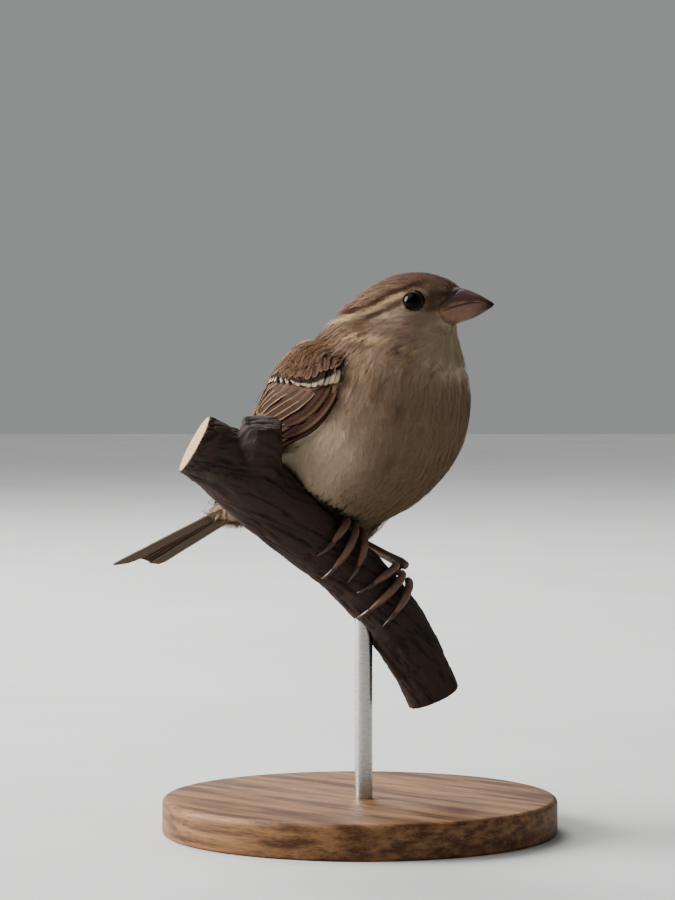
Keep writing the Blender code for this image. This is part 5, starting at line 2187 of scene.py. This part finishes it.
@dataclass
class Perch:
    """The short cut length of branch that the bird sits on."""

    figure: Figure
    grip_height: float = 70.0
    route: tuple[tuple[float, float, float], ...] = (
        # across, towards the front, and up from the grip
        (-37, 16.8, 19), (-30, 15.4, 14.8), (-22, 12.6, 7.6), (-13, 8.7, -0.9), (-4.5, 5, -8),
        (2.5, 3, -15.2), (8.6, 1.3, -23.4), (13.6, 0, -32), (17, -1, -39.5),
    )
    length: float = 110.0
    voxel: float = 0.34
    ridge: float = 0.75  # relief of the bark
    knots: tuple[tuple[float, float, float], ...] = (
        # along the branch, round it in radians, and size
        (12, 2.0, 2.2), (34, -0.6, 1.8), (47, 2.6, 2.0), (72, 0.4, 2.2), (88, -1.8, 1.8),
    )

    def line(self) -> Array:
        """The middle line of the branch, in metres."""
        places = np.linspace(0, len(self.route) - 1, 160)
        across, near, up = curve_at(np.array(self.route), places).T
        share = math.sqrt(0.5)
        return np.stack([(across + near) * share, (across - near) * share, up + self.grip_height],
                        axis=1) * MM

    def build(self) -> None:
        """Makes the branch with its bark."""
        wood, line = Solid.of_nodes(self.figure.frame, "perch"), self.line()
        wood = wood.remeshed(self.voxel).relaxed(2)
        near = ((wood.points[:, None] - line[None]) ** 2).sum(2).argmin(axis=1)
        out, ahead = wood.points - line[near], unit(np.gradient(line, axis=0))[near]
        along = near / len(line) * self.length
        up = unit(UPWARD - ahead * ahead[:, 2:])
        angle = np.arctan2((out * np.cross(ahead, up)).sum(1), (out * up).sum(1))
        twist = angle + 0.035 * along
        lay = np.stack([np.cos(twist) * 7, np.sin(twist) * 7, along * 0.13], axis=1)
        height = self.ridges(wood.points, lay)
        facing = np.abs((wood.normals() * ahead).sum(1))
        end = np.minimum(along, self.length - 0.5 - along)
        cut = smooth(facing, 0.80, 0.93) * (1 - smooth(end, 1.2, 3.0))
        move = (self.ridge * (height - 0.85) + 0.55 * self.knotted(along, angle)) * (1 - cut)
        move = np.where(move > 0, move * self.clear_of_feet(wood.points), move)
        peel = 0.85 * bump(angle, -1.25, 0.16, 0.25) * bump(along, 56.0, 9.0, 3.0)
        peel = peel * smooth(value_noise(wood.points, 2.5 * MM, 9), -0.5, 0.1)
        ring = np.linalg.norm(out, axis=1) / MM
        values = {"Height": height, "Peel": peel, "Cut": cut, "Ring": ring, "Lay": lay * MM}
        add_piece("perch_bark", wood.grown(move), BarkFinish("bark"), ("perch",), values)

    def ridges(self, points: Array, lay: Array) -> Array:
        """The height of the bark's long ridges at points of it, laid out straight."""
        bent = lay + 0.9 * value_noise(points, 7 * MM, 12)[:, None] * (1, 1, 0)
        folds = 0.60 * np.abs(value_noise(bent, 1.7, 1)) + 0.40 * np.abs(value_noise(bent, 0.8, 2))
        return np.clip(folds * 2.6, 0, 1) ** 0.6 + 0.18 * value_noise(lay * (1, 1, 2.5), 0.45, 3)

    def knotted(self, along: Array, angle: Array) -> Array:
        """How far the knots stand out, with a hollow in the middle of each.

        Args:
            along: places along the branch.
            angle: angles round it, in radians.

        Returns:
            The height at each.
        """
        total = np.zeros(len(along))
        for place, turn, size in self.knots:
            off = 6.5 * np.angle(np.exp(1j * (angle - turn)))
            away = np.hypot((along - place) / size, off / size)
            total += np.exp(-away**2) - 0.55 * np.exp(-((away / 0.45) ** 2))
        return total

    def clear_of_feet(self, points: Array) -> Array:
        """0 near the toes, where the bark must stay low, and 1 away from them."""
        feet = Solid.of_nodes(self.figure.frame, *Side.RIGHT.toes, *Side.LEFT.toes)
        tree = point_tree(feet.points)
        return smooth([tree.find(place)[2] / MM for place in points.tolist()], 1.0, 2.5)


@dataclass(frozen=True)
class WoodFinish(Finish):
    """Fine-grained hardwood with a thin satin oil."""

    roughness: float = 0.5
    light: Colour = (0.300, 0.165, 0.080)
    dark: Colour = (0.085, 0.036, 0.016)

    def dress(self, nodes: Nodes) -> None:
        """Grain in long bands, with pores."""
        place = nodes.stretched(1.0, 10.0, 22.0)
        grain, pores = nodes.noise(26.0, 8.0, 0.62, place), nodes.noise(190.0, 3.0, 0.7, place)
        share = nodes.math("ADD", nodes.ramp(grain, 0.38, 0.62, 0.05, 0.9),
                           nodes.ramp(pores, 0.35, 0.65, -0.22, 0.12))
        nodes.set(Base_Color=nodes.blend(self.dark, self.light, share),
                  Roughness=nodes.ramp(grain, 0.3, 0.7, 0.46, 0.58), Specular_IOR_Level=0.3)
        nodes.bump(pores, 0.03, 0.5)


@dataclass(frozen=True)
class SteelFinish(Finish):
    """Satin steel with fine turning marks."""

    roughness: float = 0.3
    dark: Colour = (0.46, 0.45, 0.43)
    light: Colour = (0.60, 0.59, 0.57)

    def dress(self, nodes: Nodes) -> None:
        """Fine rings round the rod."""
        marks = nodes.noise(300.0, place=nodes.stretched(1.0, 1.0, 30.0))
        nodes.set(Base_Color=nodes.blend(self.dark, self.light, marks), Metallic=1.0,
                  Roughness=nodes.ramp(marks, 0.3, 0.7, 0.24, 0.36))
        nodes.bump(marks, 0.004, 0.4)


@dataclass
class Stand:
    """A turned base and one rod."""

    sides: int = 192
    edge: float = 1.2  # the rounding of the base's rim
    chamfer: tuple[Pair, ...] = ((0.5, 0.0), (0.12, 0.2), (0.0, 0.6))  # in and up, at its foot

    def build(self) -> None:
        """Makes the base and the rod."""
        low, high = box_of("stand_base")
        radius, curve = (high - low)[0] / 2, self.edge * MM
        bend = [(radius - curve + curve * math.sin(a), high[2] - curve + curve * math.cos(a))
                for a in np.linspace(math.pi / 2, 0, 9)]
        foot = [(radius - inward * MM, low[2] + up * MM) for inward, up in self.chamfer]
        inside = [(radius * share, low[2]) for share in (0.2, 0.6, 0.9)]
        top = [(radius * share, high[2]) for share in (0.9, 0.6, 0.2)]
        base = self.lathe([*inside, *foot, *bend, *top], (low + high) / 2)
        add_piece("stand_base_turned", base, WoodFinish("stand_wood"), ("stand_base",))
        low, high = box_of("stand_rod")
        rod = self.lathe([((high - low)[0] / 2, z) for z in np.linspace(low[2], high[2], 12)],
                         (low + high) / 2)
        add_piece("stand_rod_turned", rod, SteelFinish("stand_steel"), ("stand_rod",))

    def lathe(self, profile: Sequence[Pair], centre: Array) -> Solid:
        """A closed solid turned about a vertical line.

        Args:
            profile: pairs of a radius and a height, from its foot to its top, in metres.
            centre: a point on the line.

        Returns:
            The solid.
        """
        rows = np.array(profile)[:, :, None]
        x, y = (middle + rows[:, 0] * wave for middle, wave in zip(centre, circle(self.sides)))
        rings = np.stack([x, y, np.broadcast_to(rows[:, 1], x.shape)], axis=-1)
        start, end = (np.array([*centre[:2], height]) for height in rows[[0, -1], 1, 0])
        return Solid.of_rings(rings, start, end)


# ---- studio ----
@dataclass(frozen=True)
class FloorFinish(Finish):
    """Matt pale board with a very fine tooth."""

    roughness: float = 0.9
    dark: Colour = (0.50, 0.50, 0.49)
    light: Colour = (0.54, 0.54, 0.53)

    def dress(self, nodes: Nodes) -> None:
        """A faintly uneven pale tone."""
        nodes.set(Base_Color=nodes.blend(self.dark, self.light, nodes.grain(9.0, 4.0)))
        nodes.bump(nodes.noise(700.0), 0.05, 0.3)


@dataclass
class Studio:
    """The floor, the soft lights and the camera. Angles are in degrees."""

    azimuth: float = 45.0
    elevation: float = 2.0
    distance: float = 767.0
    aim: Pair = (-5.1, 87.0)  # to the right of the grip, and above the floor
    lens: float = 135.0
    floor: float = 6.0  # metres across
    backdrop: Colour = (0.62, 0.64, 0.64)
    backdrop_strength: float = 0.42
    sky: tuple[Colour, float, float] = ((0.42, 0.62, -0.9), 55.0, 1.3)  # way, angle and power
    lamps: tuple[tuple[str, Colour, float, float], ...] = (
        # a name, a place in metres from the bird, a size in metres and a power in watts
        ("key", (-0.95, -0.70, 0.50), 0.9, 34.0),
        ("back", (-0.9, 0.5, 1.0), 0.7, 14.0),
    )

    def build(self) -> None:
        """Makes the whole studio."""
        self.lay_floor()
        self.hang_lights()
        self.place_camera()

    def lay_floor(self) -> None:
        """A wide pale floor under the stand."""
        size = self.floor / math.sqrt(2)
        mesh = bpy.data.meshes.new("floor")
        corners = [(0, -size, 0), (size, 0, 0), (0, size, 0), (-size, 0, 0)]
        mesh.from_pydata(corners, [], [(0, 1, 2, 3)])
        mesh.materials.append(FloorFinish("floor_board").make())
        linked("floor", mesh)

    def hang_lights(self) -> None:
        """Soft light from above and both sides, over an even pale surround."""
        way, angle, power = self.sky
        sun = bpy.data.lights.new("skylight", "SUN")
        sun.energy, sun.angle = power, math.radians(angle)
        self.turn(linked("skylight", sun), Vector(way))
        for name, way, size, power in self.lamps:
            light = bpy.data.lights.new(name, "AREA")
            light.shape, light.size, light.energy = "DISK", size, power
            lamp = linked(name, light)
            lamp.location = Vector(way) + Vector((0, 0, 0.09))
            self.turn(lamp, -Vector(way))
        world = bpy.data.worlds.new("surround")
        world.use_nodes = True
        background = world.node_tree.nodes["Background"]
        background.inputs["Color"].default_value = (*self.backdrop, 1.0)
        background.inputs["Strength"].default_value = self.backdrop_strength
        bpy.context.scene.world = world
        bpy.context.scene.view_settings.look = "AgX - Medium High Contrast"

    def place_camera(self) -> None:
        """A long lens from the bird's right front, a little above the level of its body."""
        turn, tilt = math.radians(self.azimuth), math.radians(self.elevation)
        level = math.cos(tilt)
        back = Vector((math.sin(turn) * level, -math.cos(turn) * level, math.sin(tilt)))
        right = Vector((math.cos(turn), math.sin(turn), 0.0))
        data = bpy.data.cameras.new("camera")
        data.lens, data.sensor_fit, data.sensor_height = self.lens, "VERTICAL", 36.0
        data.clip_start, data.clip_end = 0.01, 20.0
        camera = linked("camera", data)
        aim = right * self.aim[0] * MM + Vector((0, 0, self.aim[1] * MM))
        camera.location = aim + back * self.distance * MM
        self.turn(camera, -back)
        bpy.context.scene.camera = camera

    def turn(self, thing: bpy.types.Object, way: Vector) -> None:
        """Turns a light or the camera to look along a direction."""
        thing.rotation_euler = way.to_track_quat("-Z", "Y").to_euler()


def main() -> None:
    """Builds the whole model over its frame."""
    logging.basicConfig(level=logging.INFO, format="%(name)s %(message)s", force=True)
    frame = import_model()
    figure = Figure(frame)
    markings = Markings(figure)
    Skin(figure, markings).build()
    Coat(figure, markings).build()
    for side in Side:
        Wing(figure, side, markings.colours).build()
        Eye(figure, side).build()
        Foot(figure, side).build()
    Tail(figure, markings.colours).build()
    Bill(figure, markings).build()
    Perch(figure).build()
    Stand().build()
    Studio().build()


if __name__ == "__main__":
    main()
